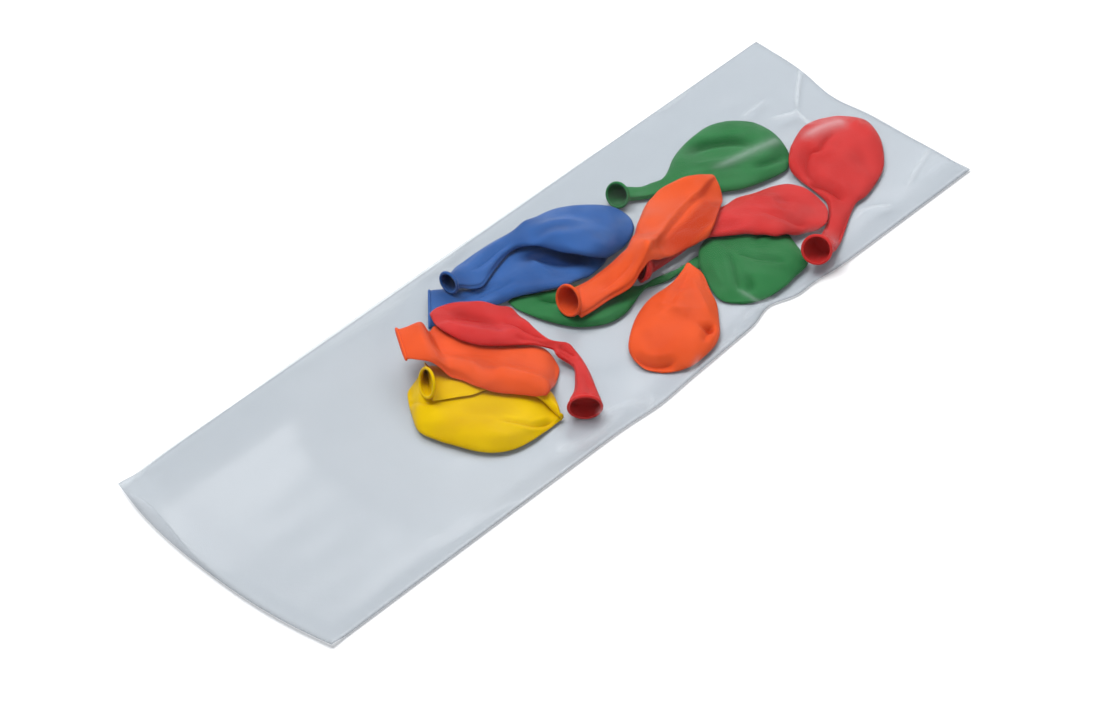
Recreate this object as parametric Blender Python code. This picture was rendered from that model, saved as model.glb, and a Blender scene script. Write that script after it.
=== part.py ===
"""A long, flat bag of clear film, open at one end, with twelve uninflated balloons lying in it.

The bag lies on its back along X: its mouth is at -X, its sealed end at +X, and the balloons lie
towards the sealed end. Z is up, and the origin is under the middle of the bag.
The balloons are laid one after another, as they were dropped in: each lies on the film and on
those laid before it. The upper layer of film is then stretched over the heap like a membrane.
The two layers of film are solids of their own, a gap apart where the real ones are joined.
"""

import math

import bmesh
import bpy
import numpy as np
from mathutils import Vector
from mathutils.bvhtree import BVHTree

# Bag, in metres
BAG_LENGTH = 0.500
BAG_WIDTH = 0.160
FILM = 0.0001
LIP_RISE = 0.014
LIP_NEAR = -0.16
LIP_FAR = 0.98
AIR = 0.0100
AIR_START = 0.020
AIR_END = 0.060

# Balloons, in metres: a common party balloon, lying flat
BALLOON_LENGTH = 0.115
BALLOON_WIDTH = 0.056
BALLOON_THICKNESS = 0.0085
NECK_WIDTH = 0.0155
NECK_THICKNESS = 0.0055
NECK_PRESSED = 0.7
NECK_OPENED = 1.3
NECK_FOLLOWS_MOUTH = 0.5
RIM_DIAMETER = 0.0195
RIM_BEAD = 0.0014
RIM_RUN = 0.0031
RIM_WALL = 0.0019
MOUTH_DEPTH = 0.012
MOUTH_TAPER = 0.55
FOLD_RUN = 0.006

# Where a balloon's shape changes, as shares of its length from the mouth
NECK_START = 0.045
NECK_FULL = 0.16
WIDENING = (0.24, 0.64)
THICKENING = (0.15, 0.55)
WIDTH_CROWN = 0.66
THICKNESS_CROWN = 0.72

# Room left between pieces that touch, and to the bag's folds
GAP = 0.0003
SEAM_TOP = 2 * FILM + GAP
EDGE_GAP = 0.003
DRAPE_SLOPE = 0.75
DRAPE_REACH = 0.002

# Fineness of the meshes and of the height map under the heap
LENGTH_STEPS = 40
WIDTH_STEPS = 16
RING_POINTS = 14
BODY_RINGS = 14
CURVE_STEPS = 24
COURSE_POINTS = 61
AHEAD = 0.02
MAP_CELL = 0.002
MEMBRANE_PASSES = 4000
SETTLE_PASSES = 8
SETTLE_REACH = 3

GREEN = (0.055, 0.235, 0.090)
RED = (0.640, 0.045, 0.045)
ORANGE = (0.850, 0.105, 0.030)
BLUE = (0.055, 0.160, 0.480)
YELLOW = (0.800, 0.560, 0.004)
CLEAR = (0.720, 0.780, 0.830)
LATEX_ROUGHNESS = 0.42
FILM_ROUGHNESS = 0.2
FILM_ALPHA = 0.35
CREASE_ANGLE = 50

# How each balloon lies, in the order in which they were dropped in.
# from_seal: distance of its middle from the sealed end, in metres.
# across: where its middle lies in the room between the folds, from -1, near side, to 1, far side.
# line: its course from mouth to crown, in balloon lengths from its middle.
# spread: share of its full width that it shows, less where it is folded along its length.
# puff: share of its full thickness.
# mouth: how far its rim stands open, from 0, pressed flat, to 1, round.
# folded_at: the point of the line where the neck is folded back, and neck_over or neck_under: how
# far above or below the body, in metres, the neck then lies.
BALLOONS = [
    dict(
        name="green_balloon_long", colour=GREEN, from_seal=0.206, across=-0.21,
        line=[(0.42, -0.24), (0.26, -0.18), (0.08, -0.16), (-0.21, -0.01), (-0.42, 0.24)],
        spread=0.62, puff=0.75, mouth=0.00,
    ),
    dict(
        name="green_balloon_far", colour=GREEN, from_seal=0.112, across=0.43,
        line=[(-0.41, 0.20), (-0.27, 0.14), (-0.11, 0.10), (0.19, 0.03), (0.41, -0.20)],
        spread=1.00, puff=0.90, mouth=0.90,
    ),
    dict(
        name="green_balloon_near", colour=GREEN, from_seal=0.130, across=-0.95,
        line=[(0.33, 0.16), (0.21, 0.10), (0.03, 0.01), (-0.14, -0.08), (-0.33, -0.16)],
        spread=0.98, puff=0.90, mouth=0.00,
    ),
    dict(
        name="red_balloon_end", colour=RED, from_seal=0.066, across=-1.00,
        line=[(-0.40, -0.30), (-0.18, -0.23), (-0.02, -0.14), (0.15, 0.05), (0.40, 0.30)],
        spread=0.90, puff=0.95, mouth=0.90,
    ),
    dict(
        name="red_balloon_middle", colour=RED, from_seal=0.138, across=-0.54,
        line=[(-0.48, 0.15), (-0.26, 0.13), (-0.12, 0.07), (0.20, 0.01), (0.48, -0.15)],
        spread=0.80, puff=0.90, mouth=0.50,
    ),
    dict(
        name="blue_balloon_low", colour=BLUE, from_seal=0.246, across=0.77,
        line=[(-0.41, 0.19), (-0.26, 0.10), (-0.11, 0.01), (0.15, -0.10), (0.41, -0.19)],
        spread=0.66, puff=0.80, mouth=0.00,
    ),
    dict(
        name="blue_balloon_high", colour=BLUE, from_seal=0.222, across=0.75,
        line=[(-0.46, 0.16), (-0.28, 0.17), (-0.06, 0.17), (0.23, 0.06), (0.46, -0.17)],
        spread=0.66, puff=0.90, mouth=0.80,
    ),
    dict(
        name="orange_balloon_centre", colour=ORANGE, from_seal=0.178, across=0.04,
        line=[(-0.56, -0.05), (-0.37, -0.05), (-0.19, -0.06), (0.22, 0.02), (0.56, 0.06)],
        spread=0.64, puff=1.30, mouth=0.75,
    ),
    dict(
        name="orange_balloon_near", colour=ORANGE, from_seal=0.210, across=-1.00,
        line=[(0.05, 0.02), (0.20, 0.11), (0.28, 0.16), (0.00, -0.02), (-0.28, -0.16)],
        spread=0.90, puff=0.90, mouth=0.00, folded_at=2, neck_under=0.0055,
    ),
    dict(
        name="yellow_balloon", colour=YELLOW, from_seal=0.327, across=-0.53,
        line=[(-0.12, 0.20), (0.05, 0.03), (0.19, -0.25), (-0.04, -0.09), (-0.19, 0.25)],
        spread=0.78, puff=1.00, mouth=0.45, folded_at=2, neck_over=0.0095,
    ),
    dict(
        name="orange_balloon_mouth", colour=ORANGE, from_seal=0.303, across=0.20,
        line=[(-0.17, 0.31), (-0.11, 0.23), (-0.06, 0.04), (0.03, -0.17), (0.17, -0.31)],
        spread=0.84, puff=0.90, mouth=0.00,
    ),
    dict(
        name="red_balloon_mouth", colour=RED, from_seal=0.278, across=-0.77,
        line=[(-0.12, -0.49), (0.03, -0.33), (0.13, -0.16), (0.12, 0.03), (0.00, 0.25), (-0.13, 0.49)],
        spread=0.62, puff=0.90, mouth=0.60,
    ),
]


def clear_scene():
    for item in list(bpy.data.objects):
        bpy.data.objects.remove(item, do_unlink=True)


def finish_of(name, colour, roughness, alpha=1.0):
    """A Principled material with a colour, roughness and see-through share of its own."""
    material = bpy.data.materials.new(name)
    material.use_nodes = True
    shader = material.node_tree.nodes["Principled BSDF"]
    shader.inputs["Base Color"].default_value = (*colour, 1.0)
    shader.inputs["Roughness"].default_value = roughness
    shader.inputs["Metallic"].default_value = 0.0
    shader.inputs["Alpha"].default_value = alpha
    return material


def smoothstep(low, high, value):
    share = min(max((value - low) / (high - low), 0.0), 1.0)
    return share * share * (3.0 - 2.0 * share)


def smooth_line(points, count):
    """Points at equal shares of the length of a smooth curve, and the shares at its own points."""
    ends = [2 * points[0] - points[1], *points, 2 * points[-1] - points[-2]]
    fine = []
    for p0, p1, p2, p3 in zip(ends, ends[1:], ends[2:], ends[3:]):
        for step in range(CURVE_STEPS):
            t = step / CURVE_STEPS
            fine.append(
                0.5 * (
                    2 * p1 + (p2 - p0) * t
                    + (2 * p0 - 5 * p1 + 4 * p2 - p3) * t * t
                    + (3 * p1 - 3 * p2 + p3 - p0) * t ** 3
                )
            )
    fine = np.array([*fine, points[-1]])
    run = np.concatenate([[0.0], np.cumsum(np.linalg.norm(np.diff(fine, axis=0), axis=1))])
    wanted = np.linspace(0.0, run[-1], count)
    evenly = np.stack([np.interp(wanted, run, fine[:, axis]) for axis in range(3)], axis=1)
    return evenly, run[::CURVE_STEPS] / run[-1]


def ring_width(diameter, openness):
    """The width of a soft ring pressed from round (1) to flat (0), with its girth kept."""
    return diameter * (math.pi / 2 - (math.pi / 2 - 1.0) * openness)


def crown(start, share):
    """How a size falls to nothing, as a quarter circle does, from a share of the length to its end."""
    return math.sqrt(max(1.0 - (max(share - start, 0.0) / (1.0 - start)) ** 2, 0.0))


def half_width(balloon, share):
    """Half the balloon's width at a share of its length from the mouth."""
    neck = 0.5 * ring_width(2.0 * NECK_WIDTH / math.pi, NECK_FOLLOWS_MOUTH * balloon["mouth"])
    body = 0.5 * BALLOON_WIDTH * balloon["spread"]
    return (neck + (body - neck) * smoothstep(*WIDENING, share)) * crown(WIDTH_CROWN, share)


def half_height(balloon, share):
    """Half the balloon's thickness at a share of its length from the mouth."""
    opening = NECK_PRESSED + (NECK_OPENED - NECK_PRESSED) * balloon["mouth"]
    neck = 0.5 * NECK_THICKNESS * opening
    body = 0.5 * BALLOON_THICKNESS * balloon["puff"]
    return (neck + (body - neck) * smoothstep(*THICKENING, share)) * crown(THICKNESS_CROWN, share)


def rings_of(balloon):
    """The balloon's rings from the end of its mouth's hollow, over the rim, to the crown.

    Each ring is (points, is part of the mouth). The rings stand across the balloon's course, and
    their lowest points lie at height 0, or as high as the balloon's own folds take them.
    """
    reach = [Vector(point) * BALLOON_LENGTH for point in balloon["line"]]
    course, shares = smooth_line([np.array([p.x, p.y, 0.0]) for p in reach], COURSE_POINTS)
    folded = "folded_at" in balloon
    fold_share = shares[balloon["folded_at"]] if folded else 0.0
    over, under = balloon.get("neck_over", 0.0), balloon.get("neck_under", 0.0)
    half_turn = FOLD_RUN / BALLOON_LENGTH
    openness = balloon["mouth"]
    rim_wide = 0.5 * ring_width(RIM_DIAMETER, openness)
    rim_high = max(rim_wide * openness, 2.0 * RIM_BEAD)

    def centre_at(share, high):
        along = np.linspace(0.0, 1.0, COURSE_POINTS)
        x, y = (np.interp(share, along, course[:, axis]) for axis in (0, 1))
        past = smoothstep(fold_share - half_turn, fold_share + half_turn, share)
        off_neck = smoothstep(2.0 * fold_share, 3.0 * fold_share, share) if folded else 0.0
        return np.array([x, y, high + over * (1.0 - past) + under * past * (1.0 - off_neck)])

    stations = [(0.0, rim_wide, rim_high), (RIM_RUN / BALLOON_LENGTH, rim_wide, rim_high)]
    for ring in range(BODY_RINGS):
        share = NECK_START + (1.0 - NECK_START) * math.sin(math.pi / 2 * ring / BODY_RINGS)
        blend = smoothstep(NECK_START, NECK_FULL, share)
        wide = (rim_wide - RIM_BEAD) * (1.0 - blend) + half_width(balloon, share) * blend
        high = (rim_high - RIM_BEAD) * (1.0 - blend) + half_height(balloon, share) * blend
        stations.append((share, wide, high))

    along = course[-1] - course[len(course) // 2]
    fixed_side = Vector((-along[1], along[0], 0.0)).normalized()
    rings = []
    for share, wide, high in stations:
        here = centre_at(share, high)
        before, after = max(share - AHEAD, 0.0), min(share + AHEAD, 1.0)
        ahead = Vector(centre_at(after, high) - centre_at(before, high))
        if folded:
            side = fixed_side
            up = ahead.normalized().cross(side)
            side = up.cross(ahead.normalized()).normalized()
        else:
            ahead.z = 0.0
            side = Vector((-ahead.y, ahead.x, 0.0)).normalized()
            up = Vector((0.0, 0.0, 1.0))
        ring = []
        for step in range(RING_POINTS):
            turn = 2.0 * math.pi * step / RING_POINTS
            ring.append(Vector(here) + side * (wide * math.cos(turn)) + up * (high * math.sin(turn)))
        sunk = max(-min(point.z for point in ring), 0.0)
        for point in ring:
            point.z += sunk
        rings.append((ring, share <= NECK_START))
    if rim_high > 2.0 * RIM_BEAD:
        inner = []
        for share, shrink in ((MOUTH_DEPTH / BALLOON_LENGTH, MOUTH_TAPER), (0.0, 1.0)):
            centre = Vector(centre_at(share, rim_high))
            mouth_ring = rings[0][0]
            rim_centre = sum(mouth_ring, Vector()) / RING_POINTS
            narrowed = 1.0 - RIM_WALL / rim_high
            inner.append(([centre + (p - rim_centre) * narrowed * shrink for p in mouth_ring], True))
        rings = inner + rings
    return rings


class Heap:
    """A height map of what already lies in the bag, from above, on square cells."""

    def __init__(self):
        self.columns = int(round(BAG_LENGTH / MAP_CELL)) + 1
        self.rows = int(round(BAG_WIDTH / MAP_CELL)) + 1
        self.x = np.linspace(-BAG_LENGTH / 2, BAG_LENGTH / 2, self.columns)
        self.y = np.linspace(-BAG_WIDTH / 2, BAG_WIDTH / 2, self.rows)
        self.top = np.full((self.columns, self.rows), FILM)
        self.laid = []

    def spread_out(self, passes, fall=0.0):
        """Each cell raised to its highest neighbour, less the fall for each cell of distance."""
        high = self.top.copy()
        for _ in range(passes):
            edge = np.pad(high, 1, mode="edge")
            for dx in (0, 1, 2):
                for dy in (0, 1, 2):
                    away = math.hypot(dx - 1, dy - 1) * fall
                    np.maximum(high, edge[dx:dx + self.columns, dy:dy + self.rows] - away, out=high)
        return high

    def drape(self, flat):
        """The surface that a soft piece follows: clear of what lies under it, and never too steep."""
        kept = self.top
        under = ~np.isnan(self.seen(flat, from_above=True))
        self.top = np.where(under, self.spread_out(int(math.ceil(DRAPE_REACH / MAP_CELL))), FILM)
        fall = DRAPE_SLOPE * MAP_CELL
        soft = self.spread_out(int(math.ceil(self.top.max() / fall)), fall)
        self.top = kept
        return soft + GAP

    def read(self, surface, x, y):
        """A surface's height over a point."""
        column = min(max((x - self.x[0]) / (self.x[1] - self.x[0]), 0.0), self.columns - 1.001)
        row = min(max((y - self.y[0]) / (self.y[1] - self.y[0]), 0.0), self.rows - 1.001)
        i, j = int(column), int(row)
        u, v = column - i, row - j
        low = surface[i, j] * (1 - u) + surface[i + 1, j] * u
        far = surface[i, j + 1] * (1 - u) + surface[i + 1, j + 1] * u
        return low * (1 - v) + far * v

    def seen(self, mesh, from_above):
        """What a mesh shows each cell, looking down on it or up at it, with no height where it isn't."""
        tree = BVHTree.FromBMesh(mesh)
        way = -1.0 if from_above else 1.0
        heights = np.full_like(self.top, np.nan)
        xs = [vertex.co.x for vertex in mesh.verts]
        ys = [vertex.co.y for vertex in mesh.verts]
        for i in np.flatnonzero((self.x >= min(xs)) & (self.x <= max(xs))):
            for j in np.flatnonzero((self.y >= min(ys)) & (self.y <= max(ys))):
                hit = tree.ray_cast(Vector((self.x[i], self.y[j], -way)), Vector((0.0, 0.0, way)))[0]
                if hit:
                    heights[i, j] = hit.z
        return heights

    def settle(self, mesh):
        """Raise a soft piece wherever it dips into what lies under it: cell by cell, then by its faces."""
        for _ in range(SETTLE_PASSES):
            short = np.nan_to_num(self.top + GAP - self.seen(mesh, from_above=False), nan=0.0)
            if short.max() <= 0.0:
                break
            kept = self.top
            self.top = short
            raised = self.spread_out(SETTLE_REACH)
            self.top = kept
            for vertex in mesh.verts:
                vertex.co.z += max(self.read(raised, vertex.co.x, vertex.co.y), 0.0)
        for _ in range(SETTLE_PASSES):
            own = BVHTree.FromBMesh(mesh)
            crossing = {face for other in self.laid for face, _ in own.overlap(other)}
            if not crossing:
                break
            mesh.faces.ensure_lookup_table()
            for vertex in {vertex for face in crossing for vertex in mesh.faces[face].verts}:
                vertex.co.z += GAP

    def add(self, mesh):
        """Raise the map where a newly laid piece lies."""
        self.top = np.fmax(self.top, self.seen(mesh, from_above=True))
        for vertex in mesh.verts:
            column = int((vertex.co.x - self.x[0]) / (self.x[1] - self.x[0]))
            row = int((vertex.co.y - self.y[0]) / (self.y[1] - self.y[0]))
            around = self.top[column:column + 2, row:row + 2]
            np.maximum(around, vertex.co.z, out=around)
        self.laid.append(BVHTree.FromBMesh(mesh))


def lofted(rings):
    """A closed mesh over rings of points, capped at both ends."""
    mesh = bmesh.new()
    made = [[mesh.verts.new(point) for point in ring] for ring in rings]
    for ring, following in zip(made, made[1:]):
        for step in range(RING_POINTS):
            after = (step + 1) % RING_POINTS
            mesh.faces.new((ring[step], ring[after], following[after], following[step]))
    mesh.faces.new(list(reversed(made[0])))
    mesh.faces.new(made[-1])
    bmesh.ops.recalc_face_normals(mesh, faces=mesh.faces)
    return mesh


def add_object(name, mesh, material):
    data = bpy.data.meshes.new(name)
    mesh.to_mesh(data)
    data.materials.append(material)
    data.shade_smooth()
    data.set_sharp_from_angle(angle=math.radians(CREASE_ANGLE))
    piece = bpy.data.objects.new(name, data)
    bpy.context.collection.objects.link(piece)
    return piece


def lay_balloon(heap, balloon, material):
    """Put a balloon down on the film and on what lies under it."""
    rings = rings_of(balloon)
    xs = [point.x for ring, _ in rings for point in ring]
    ys = [point.y for ring, _ in rings for point in ring]
    middle = Vector((min(xs) + max(xs), min(ys) + max(ys), 0.0)) / 2
    room = BAG_WIDTH / 2 - EDGE_GAP - (max(ys) - min(ys)) / 2
    place = Vector((BAG_LENGTH / 2 - balloon["from_seal"], balloon["across"] * room, 0.0)) - middle
    for ring, _ in rings:
        for point in ring:
            point += place
    flat = lofted([ring for ring, _ in rings])
    surface = heap.drape(flat)
    flat.free()
    for ring, in_mouth in rings:
        lifts = [heap.read(surface, point.x, point.y) for point in ring]
        for point, lift in zip(ring, lifts):
            point.z += max(lifts) if in_mouth else lift
    mesh = lofted([ring for ring, _ in rings])
    heap.settle(mesh)
    heap.add(mesh)
    piece = add_object(balloon["name"], mesh, material)
    mesh.free()
    return piece


def lip_height(y):
    """How high the upper layer's lip stands over the lower one at the mouth."""
    low, high = LIP_NEAR * BAG_WIDTH / 2, LIP_FAR * BAG_WIDTH / 2
    share = min(max((y - low) / (high - low), 0.0), 1.0)
    return LIP_RISE * math.sin(math.pi * share) ** 2


def stretched_film(heap):
    """The upper layer's height over the map, as a membrane held at its edges and by the heap."""
    x, y = heap.x[:, None], heap.y[None, :]
    from_mouth = np.clip((x + BAG_LENGTH / 2) / AIR_START, 0.0, 1.0)
    from_seal = np.clip((BAG_LENGTH / 2 - x) / AIR_END, 0.0, 1.0)
    arch = 1.0 - (2.0 * y / BAG_WIDTH) ** 2
    air = AIR * arch * np.sqrt(from_mouth * from_seal)
    under = heap.spread_out(2) + GAP + 2 * FILM
    held = np.maximum(np.maximum(air, SEAM_TOP), np.where(heap.top > FILM, under, SEAM_TOP))
    lip = np.array([SEAM_TOP + lip_height(value) for value in heap.y])
    sheet = held.copy()
    for _ in range(MEMBRANE_PASSES):
        middle = 0.25 * (sheet[2:, 1:-1] + sheet[:-2, 1:-1] + sheet[1:-1, 2:] + sheet[1:-1, :-2])
        sheet[1:-1, 1:-1] = np.maximum(held[1:-1, 1:-1], middle)
        sheet[0, :] = lip
        sheet[-1, :] = SEAM_TOP
        sheet[:, 0] = SEAM_TOP
        sheet[:, -1] = SEAM_TOP
    return sheet


def film_heights(heap, xs, ys):
    """Heights of the upper layer's outer face at the mesh's crossings, its facets clear of the heap."""
    sheet = stretched_film(heap)
    heights = np.full((len(xs), len(ys)), SEAM_TOP)
    for i in range(len(xs) - 1):
        for j in range(1, len(ys) - 1):
            near_x = (heap.x >= xs[max(i - 1, 0)] - MAP_CELL) & (heap.x <= xs[i + 1] + MAP_CELL)
            near_y = (heap.y >= ys[j - 1] - MAP_CELL) & (heap.y <= ys[j + 1] + MAP_CELL)
            own = heap.read(sheet, xs[i], ys[j])
            cells = np.ix_(near_x, near_y)
            covered = heap.top[cells] > FILM
            if covered.any():
                own = max(own, (heap.top[cells] * covered).max() + GAP + 2 * FILM)
            heights[i, j] = max(own, SEAM_TOP)
    for j in range(1, len(ys) - 1):
        heights[0, j] = SEAM_TOP + lip_height(ys[j])
    return heights


def film_layer(name, xs, ys, heights, material):
    """One layer of film: a closed skin over crossings of lines, its outer face at the given heights."""
    mesh = bmesh.new()
    last_x, last_y = len(xs) - 1, len(ys) - 1
    over, under = {}, {}
    for i, x in enumerate(xs):
        for j, y in enumerate(ys):
            over[i, j] = mesh.verts.new((x, y, heights[i][j]))
            under[i, j] = mesh.verts.new((x, y, heights[i][j] - FILM))
    for i in range(last_x):
        for j in range(last_y):
            corners = ((i, j), (i + 1, j), (i + 1, j + 1), (i, j + 1))
            for side in (over, under):
                mesh.faces.new([side[corner] for corner in corners])
    edges = [((i, j), (i + 1, j)) for i in range(last_x) for j in (0, last_y)]
    edges += [((i, j), (i, j + 1)) for j in range(last_y) for i in (0, last_x)]
    for start, end in edges:
        mesh.faces.new((over[start], over[end], under[end], under[start]))
    bmesh.ops.triangulate(mesh, faces=mesh.faces)
    bmesh.ops.recalc_face_normals(mesh, faces=mesh.faces)
    layer = add_object(name, mesh, material)
    mesh.free()
    return layer


def build_bag(heap):
    """The film's two layers: the lower lies flat, and the upper is stretched over the heap.

    They meet along both sides and at the sealed end, +X, and stand apart at the mouth, -X.
    """
    film = finish_of("clear bag film", CLEAR, FILM_ROUGHNESS, FILM_ALPHA)
    far_x, far_y = BAG_LENGTH / 2, BAG_WIDTH / 2
    film_layer("bag_film_lower", [-far_x, far_x], [-far_y, far_y], [[FILM, FILM], [FILM, FILM]], film)
    xs = [BAG_LENGTH * (i / LENGTH_STEPS - 0.5) for i in range(LENGTH_STEPS + 1)]
    ys = [-far_y * math.cos(math.pi * j / WIDTH_STEPS) for j in range(WIDTH_STEPS + 1)]
    film_layer("bag_film_upper", xs, ys, film_heights(heap, xs, ys), film)


def main():
    clear_scene()
    heap = Heap()
    latex = {}
    for balloon in BALLOONS:
        colour = balloon["colour"]
        if colour not in latex:
            shade = "latex " + balloon["name"].split("_")[0]
            latex[colour] = finish_of(shade, colour, LATEX_ROUGHNESS)
        lay_balloon(heap, balloon, latex[colour])
    build_bag(heap)


main()
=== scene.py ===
# %% [markdown]
# # A clear film bag with twelve uninflated balloons
# The real object is a long flat bag of clear film, open at one end, that lies on its back with
# twelve limp party balloons in it. This lesson builds how it looks around a frame that is already
# fixed: the frame says where each piece lies, and this file says what each piece looks like there.

# %% Load the frame
import math

import bpy
import numpy as np
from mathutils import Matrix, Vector


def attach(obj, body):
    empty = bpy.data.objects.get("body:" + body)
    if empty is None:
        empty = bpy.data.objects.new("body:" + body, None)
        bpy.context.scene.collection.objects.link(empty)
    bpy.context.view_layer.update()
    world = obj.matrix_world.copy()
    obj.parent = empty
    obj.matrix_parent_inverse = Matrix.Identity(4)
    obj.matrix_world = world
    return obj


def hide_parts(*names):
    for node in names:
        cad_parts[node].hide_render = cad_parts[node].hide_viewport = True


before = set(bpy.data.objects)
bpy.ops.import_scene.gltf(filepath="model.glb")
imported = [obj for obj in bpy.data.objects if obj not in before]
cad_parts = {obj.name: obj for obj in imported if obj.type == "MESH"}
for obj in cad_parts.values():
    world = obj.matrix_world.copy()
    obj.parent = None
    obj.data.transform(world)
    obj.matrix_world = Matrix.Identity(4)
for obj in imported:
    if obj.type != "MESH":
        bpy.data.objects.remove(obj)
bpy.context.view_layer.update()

print("nodes in the frame:", len(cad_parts))

# %% [markdown]
# ## Sizes
# Everything is worked out in millimetres and turned to metres only when a mesh is made, because
# latex and film are thin and millimetres read more easily. The bag is centred, with its mouth at
# the low end of X. A party balloon that has never been blown up is a flat pouch of latex with a
# little air in it. Its mouth ends in a rolled bead, and its hollow can be looked into.

# %% Sizes in millimetres
MM = 0.001
BAG_LENGTH, BAG_WIDTH = 500.0, 160.0
SEAL_X, FAR_Y = BAG_LENGTH / 2.0, BAG_WIDTH / 2.0
MOUTH_X, NEAR_Y = -SEAL_X, -FAR_Y
FILM = 0.1  # how thick the film is
WALL = 0.5  # latex between a mouth's hollow and its outside
BEAD = 0.85  # radius of the rolled bead
HOLLOW = 13.0
GAP = 0.25  # kept between one balloon and the next
RING_SPACING = 0.8
AROUND = 128  # points on each ring of a balloon
print("bag:", BAG_LENGTH, "by", BAG_WIDTH, "mm")

# %% [markdown]
# ## Lines through points
# A limp edge has no corners of its own, so each outline is a smooth curve through a few points. A
# Catmull-Rom spline passes through every point it is given, which suits edges that were measured.


# %% Smooth lines
STRETCH_POINTS = 24


def run_along(points):
    """How far along a line each of its points is."""
    return np.concatenate([[0.0], np.cumsum(np.linalg.norm(np.diff(points, axis=0), axis=1))])


def smooth_line(points, count):
    """Points at equal shares of the length of a smooth curve through the given ones."""
    points = np.array(points, float)
    ends = np.concatenate([[2 * points[0] - points[1]], points, [2 * points[-1] - points[-2]]])
    t = np.linspace(0.0, 1.0, STRETCH_POINTS, endpoint=False)[:, None]
    fine = []
    for p0, p1, p2, p3 in zip(ends, ends[1:], ends[2:], ends[3:]):
        square, cube = 2 * p0 - 5 * p1 + 4 * p2 - p3, 3 * p1 - 3 * p2 + p3 - p0
        fine.append(0.5 * (2 * p1 + (p2 - p0) * t + square * t**2 + cube * t**3))
    fine = np.concatenate([*fine, points[-1:]])
    run = run_along(fine)
    wanted = np.linspace(0.0, run[-1], count)
    return np.stack([np.interp(wanted, run, fine[:, k]) for k in range(points.shape[1])], 1)


def ease(low, high, value):
    """0 below low, 1 above high, and a soft step between them."""
    share = np.clip((value - low) / (high - low), 0.0, 1.0)
    return share * share * (3.0 - 2.0 * share)


def bell(value, middle, width):
    """1 at the middle, falling softly to nothing about two widths away."""
    return np.exp(-(((value - middle) / width) ** 2))


def unit(vector):
    return vector / np.linalg.norm(vector)


ARC = smooth_line([(0, 0), (10, 5), (20, 0)], 50)
print("a smooth line over 20 mm, 5 mm high, is", round(float(run_along(ARC)[-1]), 1), "mm long")

# %% [markdown]
# ## Soft unevenness
# No limp thing is even. A few long waves in different directions, added up, give slow bulges that
# never repeat to the eye. They come from a seeded generator, so each run gives the same bulges.


# %% Slow waves
def slow_waves(x, y, seed, length, count=7):
    """Uneven bulges between about -1 and 1, with waves of about the given length."""
    rng = np.random.default_rng(seed)
    total = np.zeros_like(x)
    for _ in range(count):
        way = rng.uniform(0.0, math.pi)
        long = length * rng.uniform(0.7, 1.5)
        shift = rng.uniform(0.0, 2.0 * math.pi)
        total += np.sin((x * math.cos(way) + y * math.sin(way)) * 2.0 * math.pi / long + shift)
    return total / math.sqrt(count)


print("one slow wave:", slow_waves(np.linspace(0, 40, 5), np.zeros(5), 11, 30.0).round(2))

# %% [markdown]
# ## Creases
# Latex that was packed flat keeps creases, and soft dents where the air has gone. Each one is drawn
# as a line over the balloon, seen from above: a fold dips sharply along its line, a dent dips
# softly, a ridge rises, and a lap is a step, where one layer lies over another.


# %% How far a point is from a line
LINE_POINTS = 40


def from_line(x, y, path):
    """Each point's distance from a line, which side it is on, and its share of the line's length."""
    line = smooth_line(path, LINE_POINTS)
    start, step = line[:-1], np.diff(line, axis=0)
    length = np.linalg.norm(step, axis=1)
    best = np.full(x.shape, 1e9)
    side, share = np.zeros(x.shape), np.zeros(x.shape)
    for k in range(len(step)):
        dx, dy = x - start[k, 0], y - start[k, 1]
        t = np.clip((dx * step[k, 0] + dy * step[k, 1]) / length[k] ** 2, 0.0, 1.0)
        away = np.hypot(dx - t * step[k, 0], dy - t * step[k, 1])
        near = away < best
        best = np.where(near, away, best)
        side = np.where(near, np.sign(step[k, 0] * dy - step[k, 1] * dx), side)
        share = np.where(near, (k + t) / len(step), share)
    return best, side, share


# %% Creases as heights
LAP_STEP = 0.45


def tapered(share, length):
    """1 along most of a crease, and down to 0 over the given share of it at either end."""
    return ease(0.0, length, share) * ease(0.0, length, 1.0 - share)


def crease_heights(creases, x, y):
    """How far all the creases of a balloon raise or lower its top, in millimetres."""
    rise = np.zeros_like(x)
    for kind, path, depth, width in creases:
        away, side, share = from_line(x, y, path)
        ends = tapered(share, 0.22)
        if kind == "fold":
            beside = bell(away, 2.4 * width, 1.2 * width)
            rise -= depth * ends * (np.exp(-((away / width) ** 1.1)) - 0.3 * beside)
        elif kind == "dent":
            rise -= depth * tapered(share, 0.4) ** 0.7 * np.exp(-((away / width) ** 2.2))
        elif kind == "ridge":
            rise += depth * ends * np.exp(-((away / width) ** 1.5))
        elif kind == "lap":
            over = np.where(side > 0, away, -away)
            step = 0.5 + 0.5 * np.tanh(over / LAP_STEP)
            rise += depth * ends * step * np.exp(-np.maximum(over, 0) / width)
    return rise


ACROSS = np.arange(0.0, 7.0, 2.0)
FOLD = crease_heights([("fold", [(0, 0), (10, 0), (20, 0)], 1.0, 2.0)], 10.0 + 0.0 * ACROSS, ACROSS)
print("across a fold 1 mm deep:", FOLD.round(2))

# %% [markdown]
# ## The shape of one balloon
# A balloon is made as a loft: rings of points, one after another from its mouth to its crown. The
# two sides of each ring lie on two drawn outlines, so its silhouette is exact. The mouth is round
# and may point anywhere, and the neck passes smoothly from it into the flat body.


# %% The rings of a body
CROWN = 0.55
EDGE = 2.2
PRESSED_STIFF, PRESSED_LIMP = 6.0, 24.0  # how far behind a pressed mouth the bead holds it level


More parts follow.
